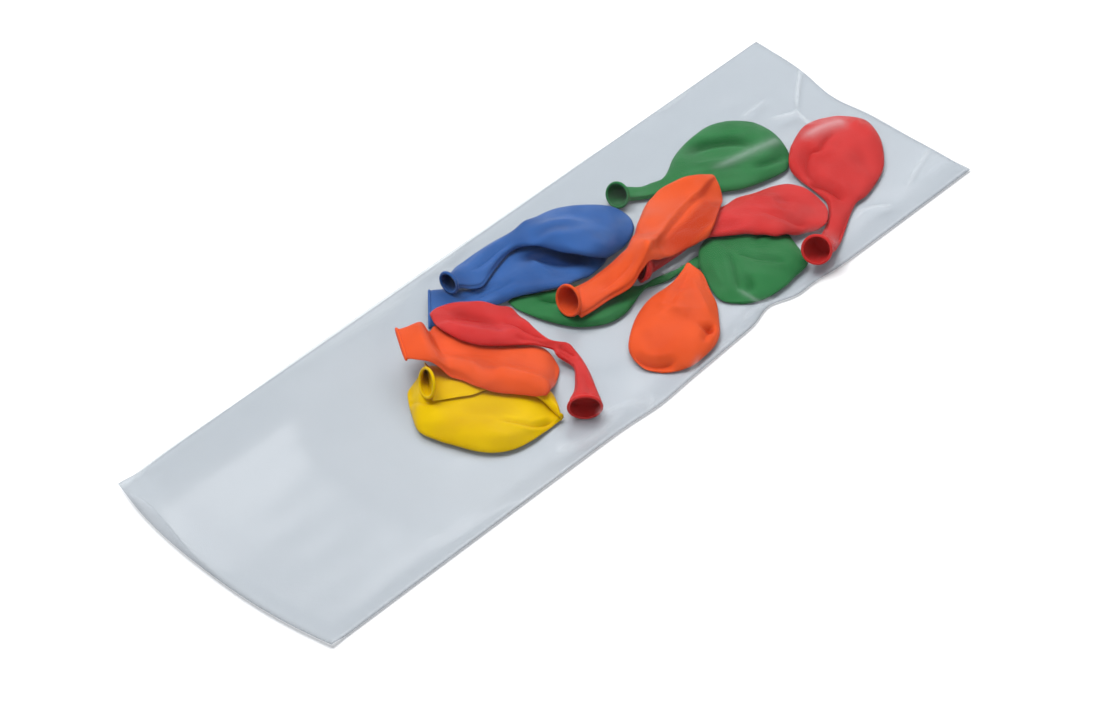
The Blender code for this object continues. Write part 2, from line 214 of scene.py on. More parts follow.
def crossways(turn, flatness):
    """How far up a ring's own height a point stands, -1 to 1, from a circle (2) to a flat pouch."""
    high = np.sqrt(np.clip(1.0 - np.abs(np.cos(turn)) ** flatness, 0.0, 1.0))
    return np.sign(np.sin(turn)) * high


def body_rings(balloon):
    """Centres, sideways vectors, heights over and under the edge, flatness and stiffness of rings."""
    left, right = balloon["left"], balloon["right"]
    run = np.linalg.norm(np.diff(np.array(left), axis=0), axis=1).sum()
    count = int(run / RING_SPACING)
    left, right = smooth_line(left, count), smooth_line(right, count)
    centre, side = (left + right) / 2.0, (left - right) / 2.0
    wide = np.linalg.norm(side, axis=1)
    share = np.linspace(0.0, 1.0, count)
    neck, body = balloon["thick"]
    thick = neck + (body - neck) * ease(0.30, 0.95, wide / wide.max())
    slim = np.minimum(thick, 1.7 * wide + 0.5)
    crown = balloon.get("crown", CROWN)
    if crown > 0.0:
        thick = np.where(np.arange(count) < int(np.argmax(wide)), slim, thick)
        to_crown = (1.0 - share) * run / (crown * wide.max() * 2.0)
        thick = thick * np.sqrt(1.0 - (1.0 - np.clip(to_crown, 0.0, 1.0)) ** 2)
    else:
        thick = slim
    edge = np.minimum(balloon.get("edge", EDGE), 0.5 * thick)
    pressed = balloon["mouth"].get("square", False)
    rigid = (1.0 - ease(PRESSED_STIFF, PRESSED_LIMP, share * run)) * pressed
    flat = np.zeros((count, 2))
    return dict(
        centre=np.column_stack([centre, edge + BEAD * rigid]),
        side=np.column_stack([side, np.zeros(count)]),
        over=np.column_stack([flat, thick - edge]), under=np.column_stack([flat, edge]),
        flatness=2.0 + 0.7 * ease(0.0, 0.3, share), rigid=rigid, share=share,
    )


# %% The mouth and the neck behind it
PRESSED_RINGS = 3


def mouth_axes(faces, upside=1.0):
    """The outward, sideways and upward directions of a mouth that faces a given way."""
    out = unit(np.array(faces, float))
    left = unit(np.array([out[1], -out[0], 0.0]))
    up = np.cross(left, out)
    if up[2] < 0:
        up = -up
    return out, left * upside, up * upside


def neck_rings(balloon, body, upside=1.0):
    """Rings from the mouth's edge to the body's first ring, along a smooth bend."""
    mouth = balloon["mouth"]
    finish = body["centre"][0]
    ahead = unit(body["centre"][3] - finish)
    if mouth.get("square"):
        rings = {key: np.repeat(body[key][:1], PRESSED_RINGS, 0) for key in body}
        rings["centre"] -= ahead * (np.arange(PRESSED_RINGS, 0, -1)[:, None] * RING_SPACING)
        return rings
    out, left, up = mouth_axes(mouth["faces"], upside)
    wide, high = mouth["wide"] - BEAD, mouth["high"] - BEAD
    start = np.array([*mouth["at"], math.hypot(wide * left[2], high * up[2]) + BEAD])
    span = np.linalg.norm(finish - start)
    count = max(int(span / RING_SPACING), 6)
    t = np.linspace(0.0, 1.0, count, endpoint=False)[:, None]
    centre = (
        start * (2 * t**3 - 3 * t**2 + 1) + finish * (3 * t**2 - 2 * t**3)
        - out * span * (t**3 - 2 * t**2 + t) + ahead * span * (t**3 - t**2)
    )
    soft = ease(0.0, 1.0, t)
    return dict(
        centre=centre,
        side=left * wide * (1 - soft) + body["side"][0] * soft,
        over=up * high * (1 - soft) + body["over"][0] * soft,
        under=up * high * (1 - soft) + body["under"][0] * soft,
        flatness=np.full(count, 2.0), rigid=1.0 - ease(0.2, 1.0, t[:, 0]), share=np.zeros(count),
    )


def joined(first, second):
    return {key: np.concatenate([first[key], second[key]]) for key in first}


# %% Points on the rings
TURN = 2.0 * np.pi * np.arange(AROUND) / AROUND
PLEATS = 5
SLACK = 0.07
UNEVEN = 0.35
SLOW_BULGE, QUICK_BULGE, QUICK_SHARE, QUICK_SEED = 30.0, 13.0, 0.4, 50
THINNEST = 0.45  # what a crease leaves between the two walls


def ring_points(rings, balloon):
    """The place of every point, its height still measured from what the balloon lies on."""
    share, rigid = rings["share"][:, None], rings["rigid"][:, None]
    out = crossways(TURN, rings["flatness"][:, None])
    slack = SLACK * (1.0 - ease(0.10, 0.55, share)) * (1.0 - rigid**2)
    spiral = balloon.get("twist", 0.0) * share * 9.0
    wave = 1.0 + slack * np.cos(balloon.get("pleats", PLEATS) * TURN + spiral + 1.0)
    side = rings["side"][:, None, :] * (np.cos(TURN) * wave)[:, :, None]
    over = rings["over"][:, None, :] * (np.maximum(out, 0.0) * wave)[:, :, None]
    under = rings["under"][:, None, :] * (np.minimum(out, 0.0) * wave)[:, :, None]
    points = rings["centre"][:, None, :] + side + over + under
    x, y, height = (points[:, :, k] for k in range(3))
    top = np.maximum(out, 0.0) * (1.0 - ease(0.0, 0.6, rigid))
    uneven = balloon.get("uneven", UNEVEN)
    slow = slow_waves(x, y, balloon["seed"], SLOW_BULGE) * uneven
    quick = QUICK_SHARE * slow_waves(x, y, balloon["seed"] + QUICK_SEED, QUICK_BULGE) * uneven
    rise = crease_heights(balloon["creases"], x, y) * ease(0.0, 0.75, top)
    rise += (slow + quick) * ease(0.0, 0.9, top)
    least = np.minimum(height[:, -np.arange(AROUND)] + THINNEST, height)
    height[:] = np.where(top > 0, np.maximum(height + rise, least), height)
    if "lift" in balloon:
        first, last, lifted = balloon["lift"]
        along = ease(first, first + 0.18, share) * (1.0 - ease(last - 0.18, last, share))
        height += lifted * along * ease(-0.1, 1.0, -np.cos(TURN))
    return points


# %% [markdown]
# ## The heap
# The balloons were dropped in one after another, so they are laid here in the same order. A height
# map remembers the top of what already lies in the bag. Each new balloon follows a softened copy of
# it, never closer than a small gap, so that limp latex drapes over its neighbours and cuts none.


# %% The height map
CELL = 1.0
MARGIN = 6.0
MAP_X = np.arange(MOUTH_X - MARGIN, SEAL_X + MARGIN + CELL / 2.0, CELL)
MAP_Y = np.arange(NEAR_Y - MARGIN, FAR_Y + MARGIN + CELL / 2.0, CELL)
print("height map:", len(MAP_X), "by", len(MAP_Y), "cells of", CELL, "mm")


def read(height_map, x, y):
    """The map's height over points."""
    i = np.clip((x - MAP_X[0]) / CELL, 0.0, len(MAP_X) - 1.001)
    j = np.clip((y - MAP_Y[0]) / CELL, 0.0, len(MAP_Y) - 1.001)
    a, b = i.astype(int), j.astype(int)
    u, v = i - a, j - b
    low = height_map[a, b] * (1 - u) + height_map[a + 1, b] * u
    far = height_map[a, b + 1] * (1 - u) + height_map[a + 1, b + 1] * u
    return low * (1 - v) + far * v


def dense(points, times=3):
    """More points between those of a loft, so that no cell of the map is missed."""
    closed = np.concatenate([points, points[:, :1]], 1)
    rows = [closed[:-1] * (1 - k / times) + closed[1:] * (k / times) for k in range(times)]
    rows = np.concatenate(rows)
    full = [rows[:, :-1] * (1 - k / times) + rows[:, 1:] * (k / times) for k in range(times)]
    return np.concatenate(full, 1).reshape(-1, 3)


def stamp(points, start):
    """A map raised to the highest of the given points in every cell near them."""
    raised = start.copy()
    i = (points[:, 0] - MAP_X[0]) / CELL
    j = (points[:, 1] - MAP_Y[0]) / CELL
    for di in (0, 1):
        for dj in (0, 1):
            a = np.clip(np.floor(i).astype(int) + di, 0, len(MAP_X) - 1)
            b = np.clip(np.floor(j).astype(int) + dj, 0, len(MAP_Y) - 1)
            np.maximum.at(raised, (a, b), points[:, 2])
    return raised


# %% What a limp balloon follows
SLOPE = 0.85  # the steepest that limp latex climbs
SMOOTHING = 40
BESIDE = ((1, 0), (-1, 0), (0, 1), (0, -1))
ALL_ROUND = BESIDE + ((1, 1), (1, -1), (-1, 1), (-1, -1))


def shifted(high, dx, dy):
    """A map in which every cell holds the height of its neighbour on one side."""
    edge = np.pad(high, 1, mode="edge")
    return edge[1 + dx:1 + dx + high.shape[0], 1 + dy:1 + dy + high.shape[1]]


def mean_beside(high):
    return 0.25 * sum(shifted(high, *side) for side in BESIDE)


def soft_base(top, footprint):
    """What a limp balloon follows: never steep, soft, and clear of all that lies under it."""
    held = np.where(footprint, top, FILM) + GAP
    high = held.copy()
    for _ in range(int(held.max() / (SLOPE * CELL)) + 1):
        for dx, dy in ALL_ROUND:
            high = np.maximum(high, shifted(high, dx, dy) - SLOPE * CELL * math.hypot(dx, dy))
    for _ in range(SMOOTHING):
        high = np.maximum(held, mean_beside(high))
    return high


# %% Lay one loft on the heap
BRIDGING = 400
TUBE_STIFF, TUBE_LIMP = 8.0, 20.0  # half widths at which a neck spans hollows, and follows them
STIFF, QUITE_STIFF = 0.9, 0.99


def lay(points, rigid, top):
    """Put a loft's points down on the map, with its mouth kept in shape, and return the new map."""
    flat = dense(points)
    flat[:, 2] = 1.0
    under = stamp(flat, np.zeros_like(top)) > 0.5
    below = read(soft_base(top, under), points[:, :, 0], points[:, :, 1])
    bridge = below.max(1)
    for _ in range(BRIDGING):
        ends = np.concatenate([bridge[:1], bridge, bridge[-1:]])
        bridge = np.maximum(bridge, 0.5 * (ends[2:] + ends[:-2]))
    half = np.linalg.norm(points[:, 0, :2] - points[:, AROUND // 2, :2], axis=1) / 2.0
    narrow = (1.0 - ease(TUBE_STIFF, TUBE_LIMP, half)) * (np.arange(len(half)) < np.argmax(half))
    tube, stiff = np.maximum(narrow, rigid)[:, None], rigid[:, None]
    lifted = (1 - tube) * below + tube * bridge[:, None]
    if rigid.max() > QUITE_STIFF:
        lifted = (1 - stiff) * lifted + stiff * bridge[rigid > STIFF].max()
    placed = points.copy()
    placed[:, :, 2] = np.maximum(points[:, :, 2] + lifted, below)
    return placed, stamp(dense(placed), top)


# %% [markdown]
# ## The twelve balloons
# Each balloon is drawn by its two outlines from mouth to crown, in millimetres over the bag seen
# from above, with X towards the sealed end. A mouth has a middle, a way it faces, and half its
# width and height: a pressed one is wide and low. Two balloons lie with their necks folded back.

# %% Outlines, mouths and creases
BALLOONS = [
    dict(
        name="green_balloon_long", thick=(2.6, 5), edge=1.5, uneven=0.25, pleats=3,
        mouth=dict(at=(98.4, -26.9), faces=(1, -0.09, 0), wide=9, high=1.6),
        left=[(85.5, -26.9), (76.4, -22), (66.8, -21.2), (58.6, -18.4), (53.5, -16.5), (47.8, -17.4),
            (40.3, -20), (31.5, -22.3), (21.2, -21.7), (13, -17.6), (4.6, -10), (-1.9, 2.3), (-5.5, 13.9),
            (-6.8, 23.9), (-5.6, 30.4)],
        right=[(90.1, -19), (77.6, -18.7), (68.8, -16.4), (59.8, -15.1), (55.4, -14), (50.8, -11.6),
            (46.6, -5.2), (40.8, 2), (33.8, 8.1), (25.3, 13.5), (15.5, 19.1), (6.3, 25.3), (-0.2, 29.5),
            (-5.6, 30.4)],
        creases=[
            ("dent", [(-3.1, 23.7), (9.4, 13.3), (20.6, 1.6), (32.3, -9.7), (42.8, -13.2)], 2.43, 5),
            ("ridge", [(-5.9, 14.9), (0.8, -2.6), (11.3, -14.7), (22.4, -19), (34.4, -18.1)], 1.12, 2.5),
            ("fold", [(6, 22.7), (9.6, 12), (20.4, -2.4)], 1.2, 1.6),
        ],
    ),
    dict(
        name="green_balloon_far", thick=(4.2, 8),
        mouth=dict(at=(92.9, 41.9), faces=(-0.88, -0.08, 0.47), wide=7.8, high=7.6),
        left=[(105.6, 45.8), (110.6, 40.6), (117.2, 38.5), (123.5, 36.7), (130.7, 38.8), (139.2, 43.2),
            (149.1, 46.3), (160.4, 47.9), (173.1, 47.7), (182.4, 44), (189.1, 37.9), (193.9, 30.4),
            (195.1, 19.4), (193.1, 8.9), (189.2, 0.5), (185.7, -3.3)],
        right=[(98.9, 37.2), (104.8, 32.9), (109.2, 30.2), (113.2, 27.1), (116.4, 22.5), (120.1, 16.9),
            (125.8, 11.6), (132.7, 7.4), (139.3, 4.7), (146.8, -0.4), (155.7, -4), (165.9, -6.8),
            (174.4, -8.1), (179.6, -7.2), (185.7, -3.3)],
        creases=[
            ("dent", [(138.5, 37), (152.3, 37.5), (163, 32.1), (172.6, 24.2), (177.4, 10.5)], 3.38, 4.6),
            ("ridge", [(136.6, 30.8), (148.3, 21.9), (160, 13), (173.3, 8.4)], 1.12, 2),
            ("dent", [(159.7, 5.1), (171.6, 0.7), (186.3, -1.2)], 2.29, 2.8),
            ("fold", [(119.8, 28.8), (130.3, 21.9), (146.1, 15.3), (160.6, 5.9)], 0.9, 1.6),
        ],
    ),
    dict(
        name="green_balloon_near", thick=(3, 8.5),
        mouth=dict(at=(146.5, -19.7), faces=(0.74, 0.67, 0), wide=7.5, high=1.6),
        left=[(146.8, -26.9), (142.2, -35.4), (136.3, -48.7), (132.1, -60.5), (128.6, -67.2),
            (122.5, -69), (115.3, -69.5), (107.6, -70.6), (95.4, -69.9), (86.7, -66.2), (81.1, -61.7)],
        right=[(142.2, -13.9), (133.4, -14.4), (118.1, -13.4), (104.5, -13.9), (93.2, -19), (86, -25.6),
            (82, -31.5), (77.9, -39.8), (74.9, -48.3), (75.7, -55), (81.1, -61.7)],
        creases=[
            ("fold", [(99.9, -36.3), (91.7, -46.7), (84.3, -57.2)], 1.8, 2),
            ("fold", [(101.6, -36.3), (108.7, -49.7), (117.5, -62.3)], 1.5, 1.8),
            ("dent", [(94, -49), (92.7, -55.4), (88, -62.7)], 1.76, 3),
            ("fold", [(132.4, -32.2), (125.9, -35.8), (113.7, -39.3)], 1.2, 2),
            ("ridge", [(89.7, -31.7), (84.6, -39.3), (80.8, -48.8)], 0.84, 2),
        ],
    ),
    dict(
        name="red_balloon_end", thick=(4, 8),
        mouth=dict(at=(130.1, -71.6), faces=(-0.74, -0.47, 0.48), wide=8.7, high=8.7),
        left=[(151.2, -58.1), (156.3, -55.5), (162, -52.4), (168.1, -47.7), (173.2, -41.1),
            (174.9, -31.4), (176.1, -19.3), (178.2, -9.8), (185.1, -2.9), (196.9, 4.4), (210.1, 8.7),
            (221.9, 7), (232.9, 2.3)],
        right=[(147.5, -71.6), (153.7, -69.1), (162.5, -64.4), (175.4, -57.5), (184.3, -54.1),
            (191.5, -54.4), (202, -52), (214.6, -47), (224.5, -39.2), (233.8, -28.2), (239.2, -15.3),
            (237.9, -6), (232.9, 2.3)],
        creases=[
            ("fold", [(220.5, -11.1), (208.4, -9.9), (198.8, -13.1), (194.7, -10.8), (186.1, -15.5),
                (179.9, -22.5), (178.2, -33.6)], 2.4, 2.6),
            ("fold", [(174.8, -23.3), (177.9, -33.8), (179.3, -42.3), (178, -51.4)], 2.4, 2.4),
            ("fold", [(176.7, -56.2), (160.8, -64.3), (146.6, -71)], 1.35, 1.8),
            ("ridge", [(173.2, -43.2), (166.2, -50.1), (154.5, -57.3)], 0.84, 1.6),
            ("dent", [(214.9, -20.5), (212.4, -33.1), (200.9, -46)], 1.08, 5),
        ],
    ),
    dict(
        name="red_balloon_middle", thick=(4, 7.5),
        mouth=dict(at=(55.8, -12), faces=(-0.8, 0.52, 0.3), wide=7.2, high=8.3),
        left=[(74.7, -3.4), (83.4, -5), (91.6, -6.3), (104.9, -8.9), (126.6, -7), (138.5, -4.5),
            (148.1, -8.5), (159.5, -11.7), (168.1, -16.7), (171.8, -23.7), (172.5, -27.2), (172.1, -34.9),
            (170.1, -41.8), (165.4, -49.5)],
        right=[(65.2, -13), (74.6, -13.2), (82.9, -14.3), (90.9, -15.8), (97.9, -20.4), (104, -25.1),
            (113.6, -31.9), (120.1, -39.3), (125.9, -46.5), (135.4, -48.5), (145.9, -50.8),
            (151.9, -55.7), (157, -55.8), (165.2, -49.7)],
        creases=[
            ("dent", [(147, -26.2), (153.7, -27.8), (154.6, -34.3)], 1.35, 2.6),
            ("dent", [(96.6, -16.4), (110.6, -22), (121.3, -30.7)], 1.22, 4),
            ("fold", [(134, -26.7), (140.7, -42.9), (151.1, -50)], 1.2, 2.2),
            ("ridge", [(133.1, -16.5), (137.8, -30.7), (150.8, -41.3)], 0.7, 3),
        ],
    ),
    dict(
        name="blue_balloon_low", thick=(3.2, 7), edge=2,
        mouth=dict(square=True),
        left=[(-28.9, 63.9), (-19.7, 56.7), (-10.4, 50.7), (0.3, 50.5), (13.6, 55.2), (30.6, 56.6),
            (46, 52.3), (58, 41), (62.4, 27.8), (58.8, 16.1)],
        right=[(-48.7, 43.7), (-37.1, 41.6), (-26.8, 38.3), (-16.2, 33.5), (-9.9, 30.2), (-3.8, 27.5),
            (1.6, 24.1), (14.3, 16.5), (24, 11.5), (38.9, 11.2), (50.5, 12.8), (58.8, 16.1)],
        creases=[
            ("dent", [(15.1, 50.5), (27.3, 41.9), (36.4, 27.9), (50.5, 15)], 4.32, 7),
            ("fold", [(-21.2, 43.7), (-4.6, 37.3), (7.4, 33.9)], 1.2, 2.2),
            ("ridge", [(24.8, 43.3), (22.2, 29.3), (23.7, 19.5)], 1.4, 2.4),
            ("fold", [(-27.5, 48.8), (-13.3, 44), (-1.8, 40.1)], 0.75, 1.6),
        ],
    ),
    dict(
        name="blue_balloon_high", thick=(4.2, 8), lift=(0.4, 0.88, 5.5),
        mouth=dict(at=(-25.3, 55.5), faces=(-0.99, -0.03, 0.14), wide=6.9, high=6.6),
        left=[(-15.9, 63.5), (-10.4, 64.6), (-3.1, 64.7), (6.9, 64.2), (18, 63.5), (31.7, 62.2),
            (49.3, 64.7), (62.2, 62.6), (71.9, 57.1), (79.8, 50), (86.4, 41.7), (88.7, 33.8),
            (88.2, 27.2), (84.9, 21.4)],
        right=[(-19.7, 51.3), (-16.6, 46.7), (-10.9, 44), (-2, 46.7), (8, 49.7), (17.8, 51.6), (25, 49.8),
            (31.1, 44), (33.9, 35.4), (36.6, 23.3), (42.1, 14.3), (51, 9.7), (65.1, 13), (75.8, 16),
            (84.9, 21.4)],
        creases=[
            ("fold", [(17.4, 51.3), (6.9, 48.6), (-8, 43.9)], 1.2, 1.4),
            ("dent", [(29, 55), (42.4, 45.1), (55.1, 30.8)], 1.35, 6),
            ("fold", [(-10.7, 55.5), (5.1, 54.4), (23.7, 55.9)], 1.05, 1.8),
            ("ridge", [(19.2, 51.4), (32, 38.8), (38.6, 18.7), (50.6, 10.6)], 0.98, 2.4),
        ],
    ),
    dict(
        name="orange_balloon_centre", thick=(4.6, 9), edge=2.6,
        mouth=dict(at=(7.6, -2.3), faces=(-0.94, 0.03, 0.33), wide=9.1, high=9.1),
        left=[(25.7, 5.7), (31.7, 4.7), (39.6, 4.8), (48.6, 4.3), (55.8, 4.4), (61.3, 4.4), (74.9, 12.5),
            (89, 21.9), (100.1, 27.5), (107.8, 28.6), (116.2, 27), (123.5, 23.9), (129.2, 19.7),
            (135.5, 15.9), (139.3, 13.7), (138.9, 9.5), (136.8, 4.5)],
        right=[(9.1, -11.7), (15.7, -12.6), (26.9, -13.8), (34.7, -15.8), (40.6, -17.2), (44.5, -17.3),
            (48.4, -16.5), (53, -16.6), (58.1, -17), (63.7, -17.1), (71.4, -15.2), (82.6, -16),
            (91.6, -19.5), (97.6, -22), (104, -19.8), (112.3, -15.2), (123.6, -8.1), (133.7, 0.5),
            (137.5, 5.1)],
        creases=[
            ("lap", [(46.1, -15.7), (59.9, -13.7), (85.4, -1.4), (104.6, 3), (121.1, 6.2), (136.7, 9.9),
                (145.9, 10.9)], 5, 13),
            ("dent", [(138.1, 5), (117.3, -7.7), (101.7, -11.6), (89.2, -11.3), (64.8, -17.4)], 4.59, 8),
            ("fold", [(57.2, -17), (81.2, -6.8), (97.6, -5), (111.7, -2.5), (128.8, 5.6)], 0.75, 2.2),
            ("fold", [(55.1, -10.1), (47.5, -8.5), (35.8, -7.8), (25.5, -7.1)], 1.35, 2.4),
        ],
    ),
    dict(
        name="orange_balloon_near", thick=(3, 8.8),
        mouth=dict(at=(46.5, -43.7), faces=(-0.88, -0.48, 0), wide=8, high=1.6),
        left=[(80.8, -23), (79.8, -33.3), (73.3, -44.9), (69.9, -52.9), (61.8, -62.5), (53.5, -70.6),
            (45.4, -74.4), (36.1, -75.8), (25.7, -75.9), (17.2, -71.5), (12.2, -66.8)],
        right=[(80, -22.2), (73.7, -24.3), (65.2, -26.2), (56.6, -26.1), (49.2, -24.8), (42, -25.6),
            (31.8, -29.3), (21.4, -35.1), (12.2, -42.3), (7.6, -50.6), (7.3, -59), (12.2, -66.8)],
        folded=dict(
            lies="under", thick=(2.4, 1.6),
            left=[(47.2, -38.6), (57.1, -33.1), (68.3, -28), (78.8, -24.2), (82.3, -22)],
            right=[(50.9, -46.9), (61, -40.6), (71.1, -34.2), (78, -27.9), (81.6, -21.2)],
        ),
        creases=[
            ("fold", [(9.5, -47.4), (8.3, -54.3), (10.7, -60.8), (14.8, -65.7),
                (22.1, -70.5)], 2.25, 1.7),
            ("dent", [(45.3, -62.1), (48.9, -64.7), (51.2, -70.6)], 2.56, 3),
            ("fold", [(38.8, -71.7), (49.4, -66.4), (56.6, -64.9)], 1.5, 1.5),
            ("ridge", [(72.5, -31.3), (63.3, -49.2), (56.5, -62.1)], 1.12, 2.4),
            ("ridge", [(33.9, -44.9), (40, -42.2), (44.5, -44.6), (46.4, -50.1), (44.3, -55)], 0.98, 1.8),
            ("fold", [(76.4, -26.9), (61.6, -34), (44.3, -41.1), (34.7, -41.3)], 1.2, 2),
            ("dent", [(29.3, -38.3), (22.3, -48.5), (19.2, -60)], 1.35, 6),
        ],
    ),
    dict(
        name="yellow_balloon", thick=(3, 9), edge=2.6, uneven=0.3,
        mouth=dict(at=(-91.8, 5.3), faces=(-0.89, 0.34, 0.31), wide=8.8, high=8.4),
        left=[(-51.6, -53.1), (-61, -53.2), (-72, -53), (-84, -50.7), (-92.9, -45.5), (-99.3, -37.8),
            (-103.7, -28.2), (-107.7, -18), (-109.7, -5.8), (-101.6, 8.1), (-95.9, 16)],
        right=[(-48.9, -48.4), (-46.3, -42.7), (-44.5, -35.9), (-48.5, -27.9), (-55.7, -12.8), (-63, 2.3),
            (-70.8, 17), (-76.4, 22.7), (-84.9, 21.7), (-92, 19.8), (-95.9, 16)],
        folded=dict(
            lies="over", thick=(4, 1.8),
            left=[(-73.4, 23.4), (-67.7, 16.4), (-60, 5.2), (-51.4, -8.6), (-43.4, -21.5), (-41.5, -35.1),
                (-45.2, -44.5), (-50.2, -51.9)],
            right=[(-92.7, -1.4), (-87.2, -4.8), (-81.4, -8.6), (-76.1, -12.3), (-68.1, -15.4),
                (-60.4, -21.2), (-55.2, -28.6), (-52.2, -36.7), (-51.6, -45.6), (-52.2, -53.1)],
        ),
        creases=[
            ("dent", [(-93.2, -5.6), (-79.9, -21.9), (-59.9, -39)], 1.49, 8),
            ("fold", [(-78.9, -32), (-73.5, -41.3), (-66, -49.3), (-52.3, -52.1)], 1.65, 1.3),
            ("fold", [(-97.5, 13.4), (-96.9, 3.4), (-92.1, -2.2)], 1.35, 1.6),
            ("ridge", [(-101.7, -2.9), (-93.3, -24.1), (-85.4, -42), (-72.5, -51.3)], 0.7, 5),
            ("fold", [(-109.1, -2.8), (-106.3, -18.6), (-99.9, -34.3)], 0.75, 2.2),
        ],
    ),
    dict(
        name="orange_balloon_mouth", thick=(3, 7.6), uneven=0.4,
        mouth=dict(square=True),
        left=[(-75.4, 41.3), (-70.5, 39.4), (-63.3, 38.4), (-50.9, 41.7), (-44.9, 35.3), (-40, 25.1),
            (-35.3, 14.7), (-27.5, 1.6), (-23.2, -2.8), (-19.8, -9.5), (-20.1, -16.8), (-23.2, -24.9),
            (-26.9, -28.5)],
        right=[(-87.7, 21.3), (-85.5, 17.5), (-81.8, 11.7), (-78.7, 6.5), (-74.6, -2.3), (-72.6, -11.6),
            (-69.9, -17.4), (-64.9, -25.1), (-57.7, -33.6), (-52.8, -39.5), (-48.2, -41.6),
            (-34.1, -33.1), (-27, -28.5)],
        creases=[
            ("dent", [(-65.6, -3.5), (-59.5, -8.5), (-56, -16.2)], 2.03, 6),
            ("fold", [(-75.4, 28.3), (-63, 24.6), (-55.9, 15.2)], 0.52, 2.6),
            ("fold", [(-82.4, 22.8), (-77.3, 13), (-72.1, 3.4)], 0.52, 2.4),
            ("ridge", [(-50.7, 20.4), (-42, 4.3), (-33.9, -13.8)], 0.7, 4),
        ],
    ),
    dict(
        name="red_balloon_mouth", thick=(4, 7), twist=1,
        mouth=dict(at=(-41.3, -61.2), faces=(-0.7, -0.71, -0.07), wide=9.6, high=9.4),
        left=[(-37.1, -46.6), (-30.8, -43.6), (-24.5, -37.9), (-19.6, -31.3), (-21.2, -21.4),
            (-20, -16.6), (-24.1, -11), (-30.7, -4.5), (-38.7, 1.9), (-46.3, 10.2), (-50.4, 17.7),
            (-52.2, 27.3), (-50.8, 38.9), (-45.9, 49.9)],
        right=[(-26.3, -58.9), (-21.9, -50.8), (-16.6, -41.3), (-13.1, -32.9), (-11.4, -25.4),
            (-11, -19.5), (-16.9, -13.8), (-17.9, -7.7), (-17.1, 0.3), (-13.8, 12.1), (-9.3, 23.7),
            (-15.4, 30.7), (-23.6, 39.8), (-31.9, 46.1), (-40.3, 49.5), (-46, 49.8)],
        creases=[
            ("dent", [(-41.7, 46), (-37, 37.1), (-29.8, 25.3), (-22.5, 12.2)], 2.43, 4),
            ("ridge", [(-47.6, 40), (-44.2, 20.7), (-32.9, 9.5)], 0.7, 3),
            ("fold", [(-21.7, 20.5), (-23.3, 0.2), (-18.7, -13.8)], 1.65, 1.8),
            ("fold", [(-31.7, 1.7), (-24.5, -8.4), (-18.2, -17.8)], 1.2, 1.6),
            ("fold", [(-16.9, -18), (-15.9, -23.7), (-15, -30.2)], 1.8, 1.4),
            ("fold", [(-19.4, -21.9), (-18.5, -27), (-19.8, -31.1)], 1.2, 1.2),
            ("fold", [(-19.9, -39.4), (-24.8, -47.7), (-29.5, -53.6)], 0.9, 1.8),
        ],
    ),
]
print(len(BALLOONS), "balloons,", sum(len(b["creases"]) for b in BALLOONS), "creases")


# %% [markdown]
# ## From rings to a closed skin
# The outer rings run from the mouth to the crown, and a copy drawn a little smaller goes back down
# inside the mouth, so that it is a real hollow with a wall. Where a neck is folded back, a few rings
# turn round the fold.


# %% Turn a fold
FOLD_RINGS, FOLD_BULGE = 7, 0.25


def fold_rings(neck_ring, body_ring, outward):
    """Rings that turn from the end of a folded neck to the start of its body."""
    a, b = neck_ring.mean(0), body_ring.mean(0)
    offset_a, offset_b = neck_ring - a, body_ring - b
    outward, upward = np.array([*outward, 0.0]), np.array([0.0, 0.0, 1.0])
    level = offset_b[:, 2:3]
    made = []
    for step in range(1, FOLD_RINGS + 1):
        turn = math.pi * step / (FOLD_RINGS + 1)
        share = (1.0 - math.cos(turn)) / 2.0
        reach = FOLD_BULGE * abs(a[2] - b[2]) * math.sin(turn)
        centre = a + (b - a) * share + outward * reach
        offset = (offset_a * (1 - share) + offset_b * share) * (1.0, 1.0, 0.0)
        offset += outward * level * math.sin(turn) * np.sign(b[2] - a[2]) - upward * level * math.cos(turn)
        made.append(centre + offset)
    return np.array(made)


# %% Hollow a mouth
NARROWEST = 0.3  # the least of a ring's radius that its hollow keeps


def hollow_rings(rings, depth):
    """The inner wall of a mouth, from the end of its hollow out to the rim."""
    inside = rings[run_along(rings.mean(1)) <= depth][::-1]
    centre = inside.mean(1, keepdims=True)
    away = np.linalg.norm(inside - centre, axis=2, keepdims=True)
    return centre + (inside - centre) * np.maximum(1.0 - WALL / away, NARROWEST)


# %% Build one balloon's rings
NECK_SHARE = 0.3


def folded_parts(balloon):
    """The points and stiffness of a folded balloon's neck, turned over, and of its body."""
    fold = balloon["folded"]
    plain = dict(
        balloon, left=fold["right"], right=fold["left"], thick=fold["thick"], edge=1.0, crown=0.0,
        creases=[], uneven=0.0,
    )
    neck = body_rings(plain)
    neck["over"], neck["under"] = -neck["under"], -neck["over"]
    neck["share"] = neck["share"] * NECK_SHARE
    neck = joined(neck_rings(balloon, neck, upside=-1.0), neck)
    points = ring_points(neck, plain)
    points[:, :, 2] -= np.minimum(points[:, :, 2].min(1), 0.0)[:, None]
    body = body_rings(balloon)
    return dict(neck=(points, neck["rigid"]), body=(ring_points(body, balloon), body["rigid"]))


